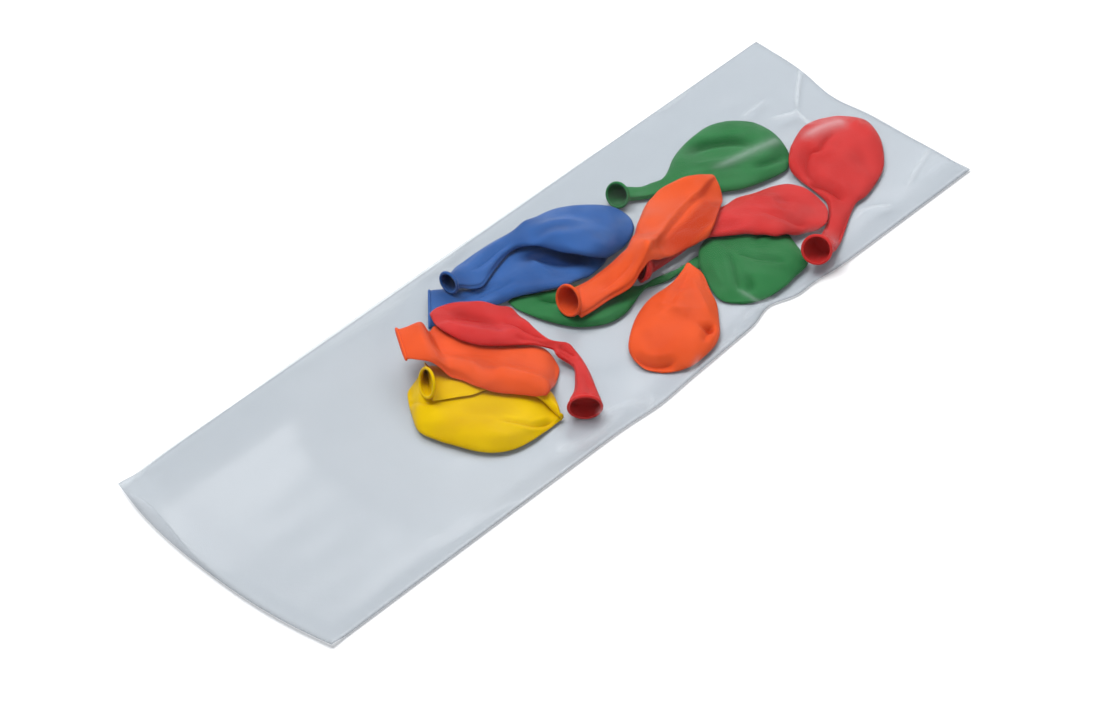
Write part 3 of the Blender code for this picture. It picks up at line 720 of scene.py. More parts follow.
def build_balloon(balloon, top):
    """The rings of one laid balloon, how many line its mouth, the mouth's edge, and the new map."""
    if "folded" not in balloon:
        body = body_rings(balloon)
        rings = joined(neck_rings(balloon, body), body)
        placed, top = lay(ring_points(rings, balloon), rings["rigid"], top)
    else:
        parts = folded_parts(balloon)
        laid = {}
        for part in ("body", "neck") if balloon["folded"]["lies"] == "over" else ("neck", "body"):
            laid[part], top = lay(*parts[part], top)
        middle = laid["body"].mean(1)[:, :2]
        turn = fold_rings(laid["neck"][-1], laid["body"][0], unit(middle[0] - middle[12]))
        placed = np.concatenate([laid["neck"], turn, laid["body"]])
        top = stamp(dense(turn), top)
    inner = hollow_rings(placed, HOLLOW)
    return dict(rings=np.concatenate([inner, placed]), inner=len(inner), rim=placed[0]), top


# %% Lay all twelve
FIRST_SEED = 11
heap_top = np.full((len(MAP_X), len(MAP_Y)), FILM)
built = {}
for seed, balloon in enumerate(BALLOONS, FIRST_SEED):
    balloon["seed"] = seed
    made, heap_top = build_balloon(balloon, heap_top)
    built[balloon["name"]] = made
    low, high = made["rings"].reshape(-1, 3).min(0), made["rings"].reshape(-1, 3).max(0)
    print(balloon["name"], "rings", len(made["rings"]), "from", low.round(1), "to", high.round(1))
print("the heap is", round(float(heap_top.max()), 1), "mm high")

# %% [markdown]
# ## Adding a node
# A material is a small graph. One function that adds a node, sets its values and wires its inputs
# keeps each material short enough to read in one go. An input takes a number, a colour, another
# node's output, or a node, which stands for its first output. A Mix node has sockets of the same
# name for numbers, vectors and colours, so those for colours are picked by their number.

# %% One function for nodes, and one for colours
SHARE, FIRST, SECOND, BLEND = 0, 6, 7, 2


def add_node(tree, kind, inputs=None, **settings):
    """A node of a kind, with its settings, and each input given a value or another node."""
    node = tree.nodes.new(kind)
    for key, value in settings.items():
        setattr(node, key, value)
    for key, value in (inputs or {}).items():
        if isinstance(value, bpy.types.Node):
            value = value.outputs[0]
        if isinstance(value, bpy.types.NodeSocket):
            tree.links.new(value, node.inputs[key])
        else:
            node.inputs[key].default_value = value
    return node


def colour(code):
    """An sRGB hex colour as the linear values that Blender works with."""
    shares = [int(code[k:k + 2], 16) / 255.0 for k in (1, 3, 5)]
    linear = [s / 12.92 if s <= 0.04045 else ((s + 0.055) / 1.055) ** 2.4 for s in shares]
    return (*linear, 1.0)


WHITE = colour("#FFFFFF")


def new_material(name):
    material = bpy.data.materials.new(name)
    material.use_nodes = True
    material.node_tree.nodes.clear()
    return material


print("white in linear light:", WHITE)

# %% [markdown]
# ## Dipped latex
# Party balloons are dipped latex, coloured right through, with a satin skin that is dusted so that
# it doesn't stick. The colour is nearly even: blotches a couple of centimetres across are a little
# deeper, and the bottom of each crease is darkened with painted shade. Wrinkles of some 8 mm and a
# fine grain of about 1 mm, drawn coarser than the real one so that it shows, break up the gloss into
# a soft sheen.

# %% Latex materials
BLOTCH, WRINKLE, GRAIN = 22.0, 7.7, 1.1
# Each latex has its colour and a deeper one: the deeper one is its blotchy tone and also the painted shade
# in creases.
LATEX = dict(
    green=("#367A47", "#165226"), red=("#D03836", "#A41C1A"), orange=("#E95B2D", "#BC3A17"),
    blue=("#3B65A6", "#173060"), yellow=("#E6BE00", "#B88800"),
)


def latex(name, inside=False):
    """Satin coloured latex, or the powdered, quite dull skin inside a mouth."""
    pale, deep_tone_and_shade = LATEX[name]
    dull, dullest = (0.85, 0.95) if inside else (0.40, 0.52)
    material = new_material(name + (" powdered latex inside a mouth" if inside else " dipped latex"))
    tree = material.node_tree
    place = add_node(tree, "ShaderNodeTexCoord").outputs["Object"]
    clouds, grain = (
        add_node(tree, "ShaderNodeTexNoise", {"Vector": place, "Scale": 1.0 / (size * MM), "Detail": fine})
        for size, fine in ((BLOTCH, 3.0), (GRAIN, 2.0))
    )
    blotch = add_node(
        tree, "ShaderNodeMapRange", {"Value": clouds, "From Min": 0.3, "From Max": 0.75, "To Max": 0.55}
    )
    # How deep each point lies in a crease darkens the colour there: painted shade. The blotches are uneven
    # tone.
    crease = add_node(tree, "ShaderNodeAttribute", attribute_name="crease").outputs["Fac"]
    depth = add_node(tree, "ShaderNodeMath", {0: crease, 1: blotch}, operation="MAXIMUM", use_clamp=True)
    mix = add_node(
        tree, "ShaderNodeMix", {SHARE: depth, FIRST: colour(pale), SECOND: colour(deep_tone_and_shade)}, data_type="RGBA"
    ).outputs[BLEND]
    wrinkle = add_node(
        tree, "ShaderNodeTexNoise",
        {"Vector": place, "Scale": 1.0 / (WRINKLE * MM), "Detail": 3.0, "Distortion": 0.6},
    )
    fine = add_node(tree, "ShaderNodeBump", {"Height": grain, "Strength": 0.12, "Distance": 0.2 * MM})
    soft = add_node(
        tree, "ShaderNodeBump", {"Height": wrinkle, "Strength": 0.25, "Distance": 0.7 * MM, "Normal": fine}
    )
    rough = add_node(
        tree, "ShaderNodeMapRange",
        {"Value": wrinkle, "From Min": 0.3, "From Max": 0.7, "To Min": dull, "To Max": dullest},
    )
    sheen = add_node(tree, "ShaderNodeMix", {SHARE: 0.08, FIRST: mix, SECOND: WHITE}, data_type="RGBA")
    shader = add_node(
        tree, "ShaderNodeBsdfPrincipled",
        {
            "Base Color": mix, "Roughness": rough, "IOR": 1.52, "Normal": soft,
            "Specular IOR Level": 0.05 if inside else 0.24, "Specular Tint": sheen.outputs[BLEND],
        },
    )
    add_node(tree, "ShaderNodeOutputMaterial", {"Surface": shader})
    return material


latex_of = {name: (latex(name), latex(name, inside=True)) for name in LATEX}
print("latex in", ", ".join(latex_of))

# %% [markdown]
# ## From points to a mesh
# The rings of a loft become quads between neighbours. The two ends are closed with a fan of
# triangles, so that each balloon is one closed skin.


# %% Objects and marks on their points
def add_object(name, data):
    made = bpy.data.objects.new(name, data)
    bpy.context.scene.collection.objects.link(made)
    return made


def mark_points(data, name, values):
    """A number on each point of a mesh, which a material reads as an attribute."""
    data.attributes.new(name, "FLOAT", "POINT").data.foreach_set("value", values.astype(np.float32))


# %% Close a loft
# The crease depth in mm that gets the full painted shade of the deeper colour.
FULLY_SHADED_CREASE = 3.0  # the crease that takes the full deep colour


def loft_mesh(name, rings, inner, creases, materials):
    """A closed mesh over rings of points in millimetres, the first ones inside the mouth."""
    count, around = rings.shape[:2]
    points = np.concatenate([rings.reshape(-1, 3), rings[:1].mean(1), rings[-1:].mean(1)])
    ring, step = np.meshgrid(np.arange(count - 1), np.arange(around), indexing="ij")
    after = (step + 1) % around
    low, high = ring * around, (ring + 1) * around
    quads = np.stack([low + step, low + after, high + after, high + step], -1).reshape(-1, 4)
    first, last, base = count * around, count * around + 1, (count - 1) * around
    pairs = [(k, (k + 1) % around) for k in range(around)]
    ends = [(first, b, a) for a, b in pairs] + [(last, base + a, base + b) for a, b in pairs]
    data = bpy.data.meshes.new(name)
    data.from_pydata((points * MM).tolist(), [], quads.tolist() + ends)
    # Crease depth kept on each point, for the painted shade in the latex colour.
    crease_shade_share = -crease_heights(creases, points[:, 0], points[:, 1]) / FULLY_SHADED_CREASE
    mark_points(data, "crease", np.clip(crease_shade_share, 0.0, 1.0))
    for material in materials:
        data.materials.append(material)
    powdered = np.zeros(len(data.polygons), np.int32)
    powdered[:inner * around] = 1
    powdered[len(quads):len(quads) + around] = 1
    data.polygons.foreach_set("material_index", powdered)
    data.shade_smooth()
    return add_object(name, data)


# %% Faces outwards
def volume_of(data):
    """The volume inside a closed mesh, below zero if its faces point inwards."""
    data.calc_loop_triangles()
    points = np.array([v.co for v in data.vertices])
    corners = np.array([t.vertices for t in data.loop_triangles])
    a, b, c = (points[corners[:, k]] for k in range(3))
    return float((a * np.cross(b, c)).sum() / 6.0)


def turn_outwards(data):
    if volume_of(data) < 0:
        data.flip_normals()


# %% [markdown]
# ## Rolled rims
# A balloon's mouth ends in a rim: the latex is rolled down on itself into a small bead. It follows
# the mouth all the way round, so Geometry Nodes sweep a small circle along that path. One tree with
# named inputs makes all twelve, and each result is joined to its balloon.


# %% The rim tree
BEAD_POINTS = 14
RIM_SIZES = {"Bead radius": "Float", "Points round the bead": "Int", "Latex": "Material"}


def rim_tree():
    """A node tree that turns a closed loop of edges into a rolled bead."""
    tree = bpy.data.node_groups.new("rolled rim", "GeometryNodeTree")
    for name, kind in {"Mouth edge": "Geometry", **RIM_SIZES}.items():
        tree.interface.new_socket(name, in_out="INPUT", socket_type="NodeSocket" + kind)
    tree.interface.new_socket("Rim", in_out="OUTPUT", socket_type="NodeSocketGeometry")
    given = add_node(tree, "NodeGroupInput").outputs
    line = add_node(tree, "GeometryNodeMeshToCurve", {"Mesh": given["Mouth edge"]})
    circle = add_node(
        tree, "GeometryNodeCurvePrimitiveCircle",
        {"Radius": given["Bead radius"], "Resolution": given["Points round the bead"]},
    )
    bead = add_node(
        tree, "GeometryNodeCurveToMesh", {"Curve": line, "Profile Curve": circle, "Fill Caps": False}
    )
    smooth = add_node(tree, "GeometryNodeSetShadeSmooth", {"Geometry": bead})
    real = add_node(tree, "GeometryNodeRealizeInstances", {"Geometry": smooth})
    clad = add_node(tree, "GeometryNodeSetMaterial", {"Geometry": real, "Material": given["Latex"]})
    add_node(tree, "NodeGroupOutput", {"Rim": clad})
    return tree


RIM_TREE = rim_tree()
print("rolled rim:", len(RIM_TREE.nodes), "nodes, with the inputs", ", ".join(RIM_SIZES))


# %% Sweep one rim
def rim_mesh(path, material):
    """The bead along a mouth's edge, as a plain mesh."""
    data = bpy.data.meshes.new("mouth edge")
    count = len(path)
    data.from_pydata((path * MM).tolist(), [(k, (k + 1) % count) for k in range(count)], [])
    holder = add_object("mouth edge", data)
    swept = holder.modifiers.new("rolled rim", "NODES")
    swept.node_group = RIM_TREE
    sizes = dict(zip(RIM_SIZES, (BEAD * MM, BEAD_POINTS, material)))
    for item in RIM_TREE.interface.items_tree:
        if item.name in sizes:
            swept[item.identifier] = sizes[item.name]
    ready = holder.evaluated_get(bpy.context.evaluated_depsgraph_get())
    bead = bpy.data.meshes.new_from_object(ready)
    bpy.data.objects.remove(holder)
    return bead


# %% Make the balloons
def make_balloon(balloon, made):
    """One balloon's object: its closed skin, with the bead joined to it."""
    name = balloon["name"]
    materials = latex_of[name.split("_")[0]]
    piece = loft_mesh(name + "_latex", made["rings"], made["inner"], balloon["creases"], materials)
    bead = add_object("bead", rim_mesh(made["rim"], materials[0]))
    for part in (piece, bead):
        turn_outwards(part.data)
    with bpy.context.temp_override(active_object=piece, selected_editable_objects=[piece, bead]):
        bpy.ops.object.join()
    return piece


pieces = {balloon["name"]: make_balloon(balloon, built[balloon["name"]]) for balloon in BALLOONS}
print("balloons:", len(pieces), "faces:", sum(len(p.data.polygons) for p in pieces.values()))

# %% [markdown]
# ## The bag
# The film is a blown tube that was flattened: two layers joined by a fold down each side and a seal
# at the far end. The lower layer lies flat. The upper one is limp but doesn't stretch, so it spans
# from one high point of the heap to the next like a skin. Relaxing a height map gives that skin:
# each cell takes the mean of its neighbours, but never less than what holds it up. Some air is left
# in the empty half, and at the mouth the upper layer stands in a low, lopsided hump.

# %% Air and the hump under the upper layer
AIR, AIR_FULL_X, AIR_TAPER = 3.0, -170.0, 60.0
HUMP = 12.0
HUMP_FOOT, HUMP_SLANT, HUMP_CREST, HUMP_END = -8.0, 0.21, 50.0, 79.0
HUMP_SUNK_X, HUMP_FADES, HUMP_GONE = -120.0, -110.0, -20.0  # places along the bag


def hump_height(x, y):
    """The hump of the upper layer across the bag, with a long near flank and a short far one."""
    foot = HUMP_FOOT + HUMP_SLANT * (x - MOUTH_X)
    near, far = (y - foot) / (HUMP_CREST - foot), (HUMP_END - y) / (HUMP_END - HUMP_CREST)
    lower = 0.5 * (near + far - np.sqrt((near - far) ** 2 + 0.03))
    share = np.clip(0.5 * (lower + np.sqrt(lower**2 + 0.01)), 0.0, 1.0)
    return HUMP * share * ease(0.0, 6.0, FAR_Y - np.abs(y))


def air_under_film(x, y):
    """How high the air left in the empty half of the bag holds the film."""
    arch = np.clip(1.0 - (y / FAR_Y) ** 2, 0.0, 1.0)
    ends = ease(MOUTH_X - MARGIN, AIR_FULL_X, x) * np.clip((SEAL_X - x) / AIR_TAPER, 0.0, 1.0)
    fading = (1.0 - 0.35 * ease(MOUTH_X, HUMP_SUNK_X, x)) * (1.0 - ease(HUMP_FADES, HUMP_GONE, x))
    return AIR * arch * np.sqrt(ends) + hump_height(x, y) * fading


# %% The upper layer as a stretched skin
FILM_REST, EDGE_REST = 0.35, 0.3  # how high the upper layer lies where nothing holds it up
RELAXING = 1200
TENT, TENT_STEPS = 0.24, 60  # the slope at which film hangs from a high point, and its reach
STIFFNESS, MENDING = (90, 50, 25), 12


def blurred(high, passes):
    """A height map with its bumps smoothed, as by the stiffness of the film."""
    for _ in range(passes):
        high = 0.5 * high + 0.5 * mean_beside(high)
    return high


def stretched_skin(top):
    """The upper layer's height over the map."""
    x, y = MAP_X[:, None], MAP_Y[None, :]
    inside = (np.abs(x) <= SEAL_X) & (np.abs(y) <= FAR_Y)
    clear = top.copy()
    for dx, dy in BESIDE:
        clear = np.maximum(clear, shifted(top, dx, dy))
    clear = np.where(clear > FILM + 0.01, clear + EDGE_REST, 0.0)
    held = np.maximum(np.maximum(air_under_film(x, y), FILM_REST), clear)
    high = held = np.where(inside, held, EDGE_REST)
    mouth, lip = MAP_X <= MOUTH_X, EDGE_REST + hump_height(MOUTH_X, MAP_Y)
    for _ in range(RELAXING):
        high = np.where(inside, np.maximum(held, mean_beside(high)), EDGE_REST)
        high[mouth] = lip
    rim = EDGE_REST + np.minimum(0.9 * (FAR_Y - np.abs(y)), 0.6 * (SEAL_X - x))
    for _ in range(TENT_STEPS):
        spread = high
        for dx, dy in ALL_ROUND:
            spread = np.maximum(spread, shifted(high, dx, dy) - TENT * CELL * math.hypot(dx, dy))
        high = np.where(inside, np.maximum(high, np.minimum(spread, rim)), high)
    high[mouth] = lip
    for passes in STIFFNESS:
        soft = blurred(high, passes)
        short = np.where(inside, np.maximum(clear - soft, 0.0), 0.0)
        high = soft + blurred(short, MENDING) * 1.6
        high = np.where(inside, np.maximum(high, clear), high)
    return high


skin = stretched_skin(heap_top)
print("the film stands", round(float(skin.max()), 1), "mm high")

# %% [markdown]
# ## Creases and puckers of the film
# Handling leaves film with crisp creases, often in small stars, and the pull of a seal leaves
# puckers along an edge. Here each crease is a line with a height and a width, added to the skin. The
# mouth bows outwards, the sealed end and the near edge are drawn in, and the far corner curls up.

# %% Creases of the film
FILM_CREASES = [
    ([(248, 42.8), (234.7, 31.9), (218.1, 18.1)], 2.72, 1.6),
    ([(218.1, 18.1), (208.6, 20.3), (197.7, 24.2)], 2.21, 1.5),
    ([(218.1, 18.1), (214.5, 10.5), (209.5, -0.6)], 1.87, 1.5),
    ([(192.4, 36.8), (205.5, 38.6), (218.3, 40.1)], 1.02, 1.6),
    ([(186, 8.5), (161.1, 12.4), (135.3, 14.7)], 1.02, 3.4),
    ([(224.4, -7.7), (210, -3.9), (193.9, -0.9)], 1.53, 4.5),
    ([(92.3, -78.4), (77.3, -76.6), (62.6, -74.6)], 1.7, 1.2),
    ([(86.2, -77.4), (80.3, -69.3), (74.8, -61.9)], 1.02, 1.6),
    ([(193.2, -69.7), (179.2, -64.9), (166.1, -67.4)], 1.87, 1.5),
    ([(47.1, -78), (56.9, -78.5), (67.7, -75.1)], 1.36, 1.2),
    ([(-21.9, -82.7), (-11.8, -78.9), (-4.4, -73.4)], 1.87, 1.8),
    ([(4.3, -81.3), (21, -78.8), (34, -75.4)], 1.53, 1.4),
    ([(-72, -72.5), (-45.8, -76.3), (-20.8, -72.9)], 1.36, 2.2),
    ([(51.3, -31.3), (63.8, -32.9), (77.9, -31.7)], 1.36, 1),
    ([(-40.2, -71), (-21.4, -73.5), (-1, -79)], 1.19, 1.4),
    ([(247.2, -53.8), (226, -60.7), (207.1, -69.5)], 1.19, 2),
    ([(208.9, 86.2), (179.6, 77.9), (153, 81)], 1.02, 3),
    ([(16.3, 80.9), (-11.8, 76), (-34.5, 84.1)], 1.19, 2.2),
]


SLOW_WAVE, QUICK_WAVE = (61, 46.0), (62, 21.0)  # a seed and a length
print("film creases:", len(FILM_CREASES))


def film_relief(x, y):
    """Creases and slow waves, in millimetres, that die out towards the bag's edges."""
    rise = np.zeros_like(x)
    for path, height, width in FILM_CREASES:
        away, _, share = from_line(x, y, path)
        rise += height * ease(0.0, 0.25, 1.0 - share) * np.exp(-((away / width) ** 1.2))
    slow = 0.45 * slow_waves(x, y * 1.6, *SLOW_WAVE) + 0.2 * slow_waves(x * 0.6, y * 1.4, *QUICK_WAVE)
    calm = ease(0.0, 14.0, FAR_Y - np.abs(y)) * ease(0.0, 5.0, SEAL_X - np.abs(x))
    return (rise + slow * (0.25 + 0.75 * ease(-150.0, -70.0, x))) * calm


# %% The plan of its edges
def bells(value, *humps):
    """Several soft humps along a line, each with its height, its middle and its width."""
    return sum(height * bell(value, middle, width) for height, middle, width in humps)


def edges_moved(points):
    """The film with its edges drawn in or out as they lie on the real bag."""
    x, y = points[..., 0].copy(), points[..., 1].copy()
    to_mouth, to_seal = 1.0 - ease(0.0, 70.0, x - MOUTH_X), 1.0 - ease(0.0, 55.0, SEAL_X - x)
    to_near = 1.0 - ease(0.0, 26.0, y - NEAR_Y)
    to_corner = bell(x, MOUTH_X, 26.0) * bell(y, FAR_Y, 24.0)
    bow = -2.4 + 9.4 * np.abs(y / FAR_Y) ** 2.3
    seal = bells(y, (5.6, 16.0, 22.0), (2.0, -25.0, 26.0))
    near = bells(x, (5.0, 90.0, 12.0), (2.6, 74.0, 34.0), (1.6, 122.0, 12.0), (-1.8, -5.0, 20.0))
    points[..., 0] = x + bow * to_mouth - seal * to_seal
    points[..., 1] = y + near * to_near - 2.0 * to_corner
    points[..., 2] += to_corner
    return points


def puckers(x, y):
    """Small waves of the upper layer beside the near edge, where it is drawn in."""
    along = bells(x, (1.1, 76.0, 7.0), (0.9, 104.0, 8.0), (0.8, -5.0, 14.0), (0.8, 180.0, 10.0))
    return along * bell(y, -74.0, 9.0)


# %% [markdown]
# ## Two thin skins
# The two layers are made as two closed skins, each as thick as the film, that meet along both sides
# and the seal and part at the mouth. Both layers curl up a little along the mouth and the near fold.
# Three numbers on each point tell the material what the film does there: where it is doubled at an
# edge, where it is bare of balloons, and where a crease has turned it white.

# %% The film's two layers
ROWS, COLUMNS = 401, 121
FILM_X, FILM_Y = np.meshgrid(
    np.linspace(MOUTH_X, SEAL_X, ROWS), np.linspace(NEAR_Y, FAR_Y, COLUMNS), indexing="ij"
)
MOUTH_CURL, MOUTH_CURL_WIDTH, MOUTH_CURL_BACK = 2.6, 16.0, 0.75
FOLD_CURL, FOLD_CURL_WIDTH, FOLD_CURL_BACK = 1.2, 12.0, 0.72
APART = 0.25


def blurred_grid(high, passes):
    """The same smoothing on the film's own grid, which leaves its outline alone."""
    for _ in range(passes):
        around = high[2:, 1:-1] + high[:-2, 1:-1] + high[1:-1, 2:] + high[1:-1, :-2]
        high = high.copy()
        high[1:-1, 1:-1] = 0.5 * high[1:-1, 1:-1] + 0.125 * around
    return high


def film_layers(x, y):
    """Points on top of the upper layer and under the lower one."""
    at_mouth = MOUTH_CURL * (1.0 - ease(0.0, MOUTH_CURL_WIDTH, x - MOUTH_X))
    at_fold = FOLD_CURL * (1.0 - ease(0.0, FOLD_CURL_WIDTH, y - NEAR_Y))
    curl = np.maximum(at_mouth, at_fold)
    high = blurred_grid(read(skin, x, y), 10) + np.maximum(film_relief(x, y), -0.25)
    over = edges_moved(np.stack([x, y, np.maximum(high, FILM_REST)], -1))
    over[:, :, 2] = np.maximum(over[:, :, 2] + puckers(x, y), curl + APART)
    under = edges_moved(np.stack([x, y, curl], -1))
    for layer in (over, under):
        layer[:, :, 0] -= MOUTH_CURL_BACK * at_mouth
        layer[:, :, 1] -= FOLD_CURL_BACK * at_fold
    over[:, :, 0] += 0.3 * hump_height(x, y) * (1.0 - ease(0.0, 40.0, x - MOUTH_X))
    for rim in ((slice(None), 0), (slice(None), -1), (-1, slice(None))):
        over[rim] = under[rim] + (0.0, 0.0, APART)
    return over, under


# %% What the film does at each point
EDGE_LINE = 3.0
HEAP_REACH = 500  # passes that spread the heap's mark over the film beside it


def film_marks(x, y):
    """Where the film is doubled at an edge, clear of the balloons, and whitened by a crease."""
    away = np.minimum(y - NEAR_Y, 0.85 * (x - MOUTH_X))
    heap = blurred((heap_top > FILM + 0.01).astype(float), HEAP_REACH)
    white = np.zeros_like(x)
    for path, height, width in FILM_CREASES:
        off, _, share = from_line(x, y, path)
        line = ease(0.0, 0.4, 1.0 - share) * np.exp(-((off / (0.7 * width)) ** 1.3))
        white = np.maximum(white, 0.36 * height * line)
    return dict(
        edge=(1.0 - ease(0.0, EDGE_LINE, away)) * ease(0.0, 20.0, FAR_Y - y),
        bare=(1.0 - ease(0.01, 0.20, read(heap, x, y))) * (1.0 - 0.85 * ease(-60.0, 60.0, x)),
        white=np.clip(white, 0.0, 1.0),
    )


# %% Close each skin
def thin_skin(name, top, marks, step=1):
    """A closed mesh a film thick under a grid of points, with the film's marks on its points."""
    top = top[::step, ::step]
    rows, columns = top.shape[:2]
    count = rows * columns
    points = np.concatenate([top.reshape(-1, 3), (top - (0.0, 0.0, FILM)).reshape(-1, 3)])
    grid = np.arange(count).reshape(rows, columns)
    upward = np.stack([grid[:-1, :-1], grid[1:, :-1], grid[1:, 1:], grid[:-1, 1:]], -1).reshape(-1, 4)
    border = np.concatenate([grid[:-1, 0], grid[-1, :-1], grid[:0:-1, -1], grid[0, :0:-1]])
    after = np.roll(border, -1)
    walls = np.stack([border, border + count, after + count, after], -1)
    faces = np.concatenate([upward, upward[:, ::-1] + count, walls])
    data = bpy.data.meshes.new(name)
    data.from_pydata((points * MM).tolist(), [], faces.tolist())
    for mark, values in marks.items():
        mark_points(data, mark, np.tile(values[::step, ::step].ravel(), 2))
    data.shade_smooth()
    print(name, "faces:", len(data.polygons), "volume in cm3:", round(volume_of(data) * 1e6, 2))
    return add_object(name, data)


over, under = film_layers(FILM_X, FILM_Y)
marks = film_marks(FILM_X, FILM_Y)
upper_layer = thin_skin("bag_film_upper_layer", over, marks)
lower_layer = thin_skin("bag_film_lower_layer", under + (0.0, 0.0, FILM), marks, step=2)

# %% [markdown]
# ## Clear film
# The bag is low-density polyethylene film, blown and slightly hazy. Most light goes straight
# through, a little tinted, and more so where the film slants away from the eye. Some is mirrored,
# more at a glancing angle, and a little is scattered. A crease whitens the film. Where it clings to
# dusted balloons the upper layer mirrors less than where it is bare. Along an edge it is doubled, so
# it throws a darker line. The lower layer, pressed flat on the table, is tinted much deeper for the
# eye than for light: partly the film's own grey, partly painted shade that stands for the shadow the
# bag casts on the table. Ripples some 45 mm long bend its gloss.

# %% How clear film is made
RIPPLE = 45.0
HAZE = 0.0004
EDGE_SHADE = "#ADACAA"


def clear_film(name, square, slanted, shade, mirror, rough, whitened):
    """See-through film: its tints face on, at a slant and for light, and its mirror and whitening."""
    material = new_material(name)
    tree = material.node_tree
    facing = add_node(tree, "ShaderNodeLayerWeight", {"Blend": 0.5}).outputs["Facing"]
    slant = add_node(tree, "ShaderNodeMath", {0: facing, 1: 1.2}, operation="POWER")
    edge, bare, white = (
        add_node(tree, "ShaderNodeAttribute", attribute_name=mark).outputs["Fac"]
        for mark in ("edge", "bare", "white")
    )
    seen, cast = (
        add_node(
            tree, "ShaderNodeMix", {SHARE: share, FIRST: colour(first), SECOND: colour(second)},
            data_type="RGBA",
        ).outputs[BLEND]
        for share, first, second in ((slant, square, slanted), (edge, shade, EDGE_SHADE))
    )
    light = add_node(tree, "ShaderNodeLightPath").outputs["Is Shadow Ray"]
    tint = add_node(tree, "ShaderNodeMix", {SHARE: light, FIRST: seen, SECOND: cast}, data_type="RGBA")
    through = add_node(tree, "ShaderNodeBsdfTransparent", {"Color": tint.outputs[BLEND]})
    milk = add_node(tree, "ShaderNodeMapRange", {"Value": white, "To Min": HAZE, "To Max": whitened})
    haze = add_node(tree, "ShaderNodeBsdfDiffuse", {"Color": colour("#F3F7FA")})
    hazy = add_node(tree, "ShaderNodeMixShader", {0: milk, 1: through, 2: haze})
    place = add_node(tree, "ShaderNodeTexCoord").outputs["Object"]
    ripple = add_node(
        tree, "ShaderNodeTexNoise",
        {"Vector": place, "Scale": 1.0 / (RIPPLE * MM), "Detail": 2.0, "Distortion": 0.4},
    )
    bump = add_node(tree, "ShaderNodeBump", {"Height": ripple, "Strength": 0.12, "Distance": 1.0 * MM})
    gloss = add_node(tree, "ShaderNodeBsdfGlossy", {"Color": WHITE, "Roughness": rough, "Normal": bump})
    level = add_node(tree, "ShaderNodeMapRange", {"Value": bare, "To Min": mirror[0], "To Max": mirror[1]})
    steep = add_node(tree, "ShaderNodeMath", {0: facing, 1: 5.0}, operation="POWER")
    part = add_node(
        tree, "ShaderNodeMath", {0: steep, 1: 0.25, 2: level}, operation="MULTIPLY_ADD", use_clamp=True
    )
    both = add_node(tree, "ShaderNodeMixShader", {0: part, 1: hazy, 2: gloss})
    add_node(tree, "ShaderNodeOutputMaterial", {"Surface": both})
    return material


# %% The upper and the lower film
UPPER = clear_film(
    "clear film over the balloons", square="#FFFFFF", slanted="#F3F5F6", shade="#FDFEFE",
    mirror=(0.002, 0.022), rough=0.23, whitened=0.26,
)
# The lower film's tint for the eye is much deeper than its tint for light: partly the film's grey, partly
# painted shade for the bag's shadow on the table.
LOWER = clear_film(
    "clear film lying on the table", square="#E4E7EA", slanted="#E1E4E7", shade="#FAFAFB",
    mirror=(0.05, 0.08), rough=0.28, whitened=0.0,
)
upper_layer.data.materials.append(UPPER)
lower_layer.data.materials.append(LOWER)
print("film materials:", UPPER.name + ";", LOWER.name)

# %% [markdown]
# ## Floor, light and camera
# The bag lies on a white table under soft light. Light Path shows the camera and the gloss a little
# extra white on the floor, rising to full white far from the bag, so the lamps stay at a plain level
# and the bag still throws its soft shadow. The key lamp is hidden from gloss, because its mirror
# image would glare on the limp film. The side lamp isn't, and gives the film its bright bands.


# %% Rays that see white
def rays_shown_white(tree):
    """1 for rays from the camera, from gloss and through clear things, 0 for all others."""
    rays = add_node(tree, "ShaderNodeLightPath").outputs
    seen = rays["Is Camera Ray"]
    for kind in ("Is Glossy Ray", "Is Transmission Ray"):
        seen = add_node(tree, "ShaderNodeMath", {0: seen, 1: rays[kind]}, operation="MAXIMUM")
    return seen


# %% A white table
FLOOR_Z = -0.0002
FLOOR_REACH = 6.0
GLOW_NEAR, GLOW_FAR = (0.5, 0.07), (1.6, 1.0)  # metres from the bag, and the glow there


def white_table():
    """Dull white paint, with a glow that shows it whiter, lights nothing and leaves its shadows."""
    material = new_material("white table")
    tree = material.node_tree
    paint = add_node(tree, "ShaderNodeBsdfDiffuse", {"Color": colour("#F3F3F3")})
    place = add_node(tree, "ShaderNodeTexCoord").outputs["Object"]
    away = add_node(tree, "ShaderNodeVectorMath", {0: place}, operation="LENGTH").outputs["Value"]
    (near, weak), (far, full) = GLOW_NEAR, GLOW_FAR
    glow = add_node(
        tree, "ShaderNodeMapRange",
        {"Value": away, "From Min": near, "From Max": far, "To Min": weak, "To Max": full},
    )
    strength = add_node(tree, "ShaderNodeMath", {0: rays_shown_white(tree), 1: glow}, operation="MULTIPLY")
    shine = add_node(tree, "ShaderNodeEmission", {"Color": WHITE, "Strength": strength})
    both = add_node(tree, "ShaderNodeAddShader", {0: paint, 1: shine})
    add_node(tree, "ShaderNodeOutputMaterial", {"Surface": both})
    return material


floor_data = bpy.data.meshes.new("floor")
corners = [(x * FLOOR_REACH, y * FLOOR_REACH, FLOOR_Z) for x, y in ((-1, -1), (1, -1), (1, 1), (-1, 1))]
floor_data.from_pydata(corners, [], [(0, 1, 2, 3)])
floor_data.materials.append(white_table())
floor = add_object("floor", floor_data)
print("floor:", 2 * FLOOR_REACH, "m wide")

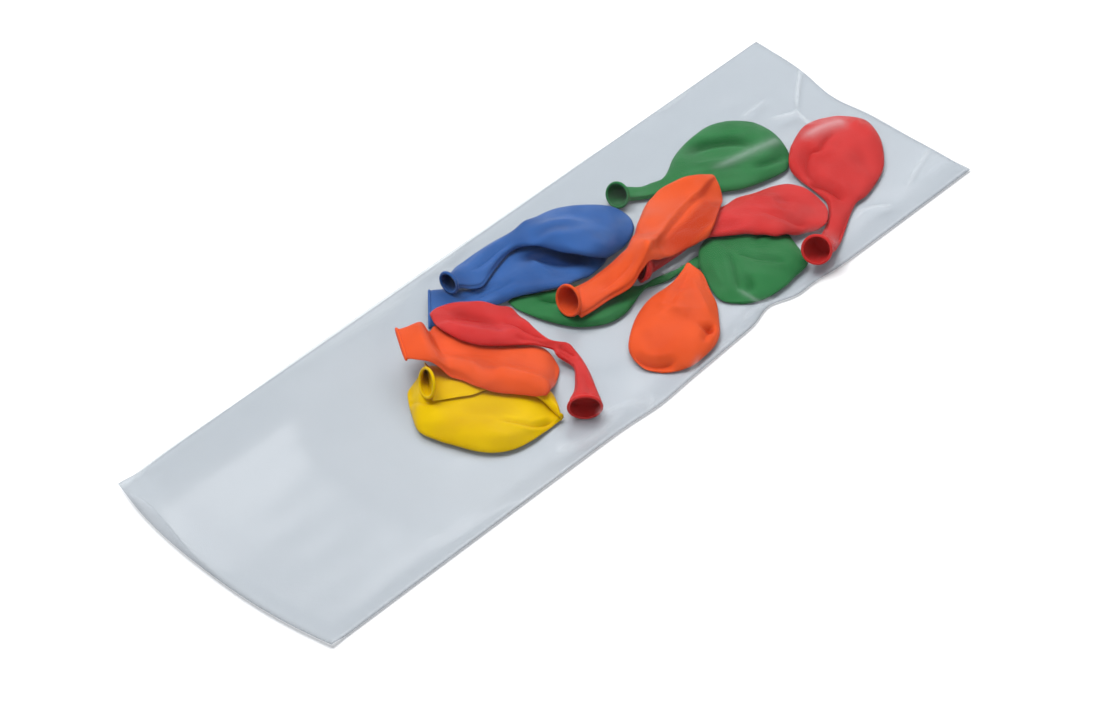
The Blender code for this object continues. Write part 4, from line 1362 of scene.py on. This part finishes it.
# %% World
world = bpy.data.worlds.new("soft daylight")
bpy.context.scene.world = world
world.use_nodes = True
world.node_tree.nodes.clear()
fill = add_node(world.node_tree, "ShaderNodeBackground", {"Color": colour("#F7FAFF"), "Strength": 0.5})
white = add_node(world.node_tree, "ShaderNodeBackground", {"Color": WHITE, "Strength": 1.0})
sky = add_node(
    world.node_tree, "ShaderNodeMixShader", {0: rays_shown_white(world.node_tree), 1: fill, 2: white}
)
add_node(world.node_tree, "ShaderNodeOutputWorld", {"Surface": sky})
print("world:", world.name)

# %% Lamps
SOFTBOX = 1.3


def softbox(name, place, power):
    """A square area lamp at a place, facing the bag, in metres and watts."""
    lamp = bpy.data.lights.new(name, "AREA")
    lamp.size, lamp.energy = SOFTBOX, power
    holder = add_object(name, lamp)
    holder.location = place
    holder.rotation_euler = (-Vector(place)).to_track_quat("-Z", "Y").to_euler()
    return holder


key = softbox("key", (-0.3, 0.75, 2.25), 43.0)
key.visible_glossy = False
side = softbox("side", (1.35, 0.4, 2.0), 14.0)
print("lamps:", key.name, key.data.energy, "W and", side.name, side.data.energy, "W")

# %% Camera
camera_data = bpy.data.cameras.new("camera")
camera_data.lens, camera_data.sensor_width = 139.25, 36.0
camera = add_object("camera", camera_data)
azimuth, elevation = math.radians(-46.03), math.radians(44.41)
distance, aim = 2.2698, (-0.0213, -0.0164, 0.0)
back = (
    math.sin(azimuth) * math.cos(elevation), -math.cos(azimuth) * math.cos(elevation), math.sin(elevation)
)
camera.location = [a + distance * b for a, b in zip(aim, back)]
camera.rotation_euler = (math.pi / 2 - elevation, 0.0, azimuth)
bpy.context.scene.camera = camera
bpy.context.scene.view_settings.view_transform = "Standard"
bpy.context.scene.cycles.transparent_max_bounces = 24
print("camera:", [round(c, 3) for c in camera.location], "m")

# %% Hand the pieces over
for name, piece in pieces.items():
    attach(piece, "root")
    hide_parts(name)
for layer, node in ((lower_layer, "bag_film_lower"), (upper_layer, "bag_film_upper")):
    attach(layer, "root")
    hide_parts(node)
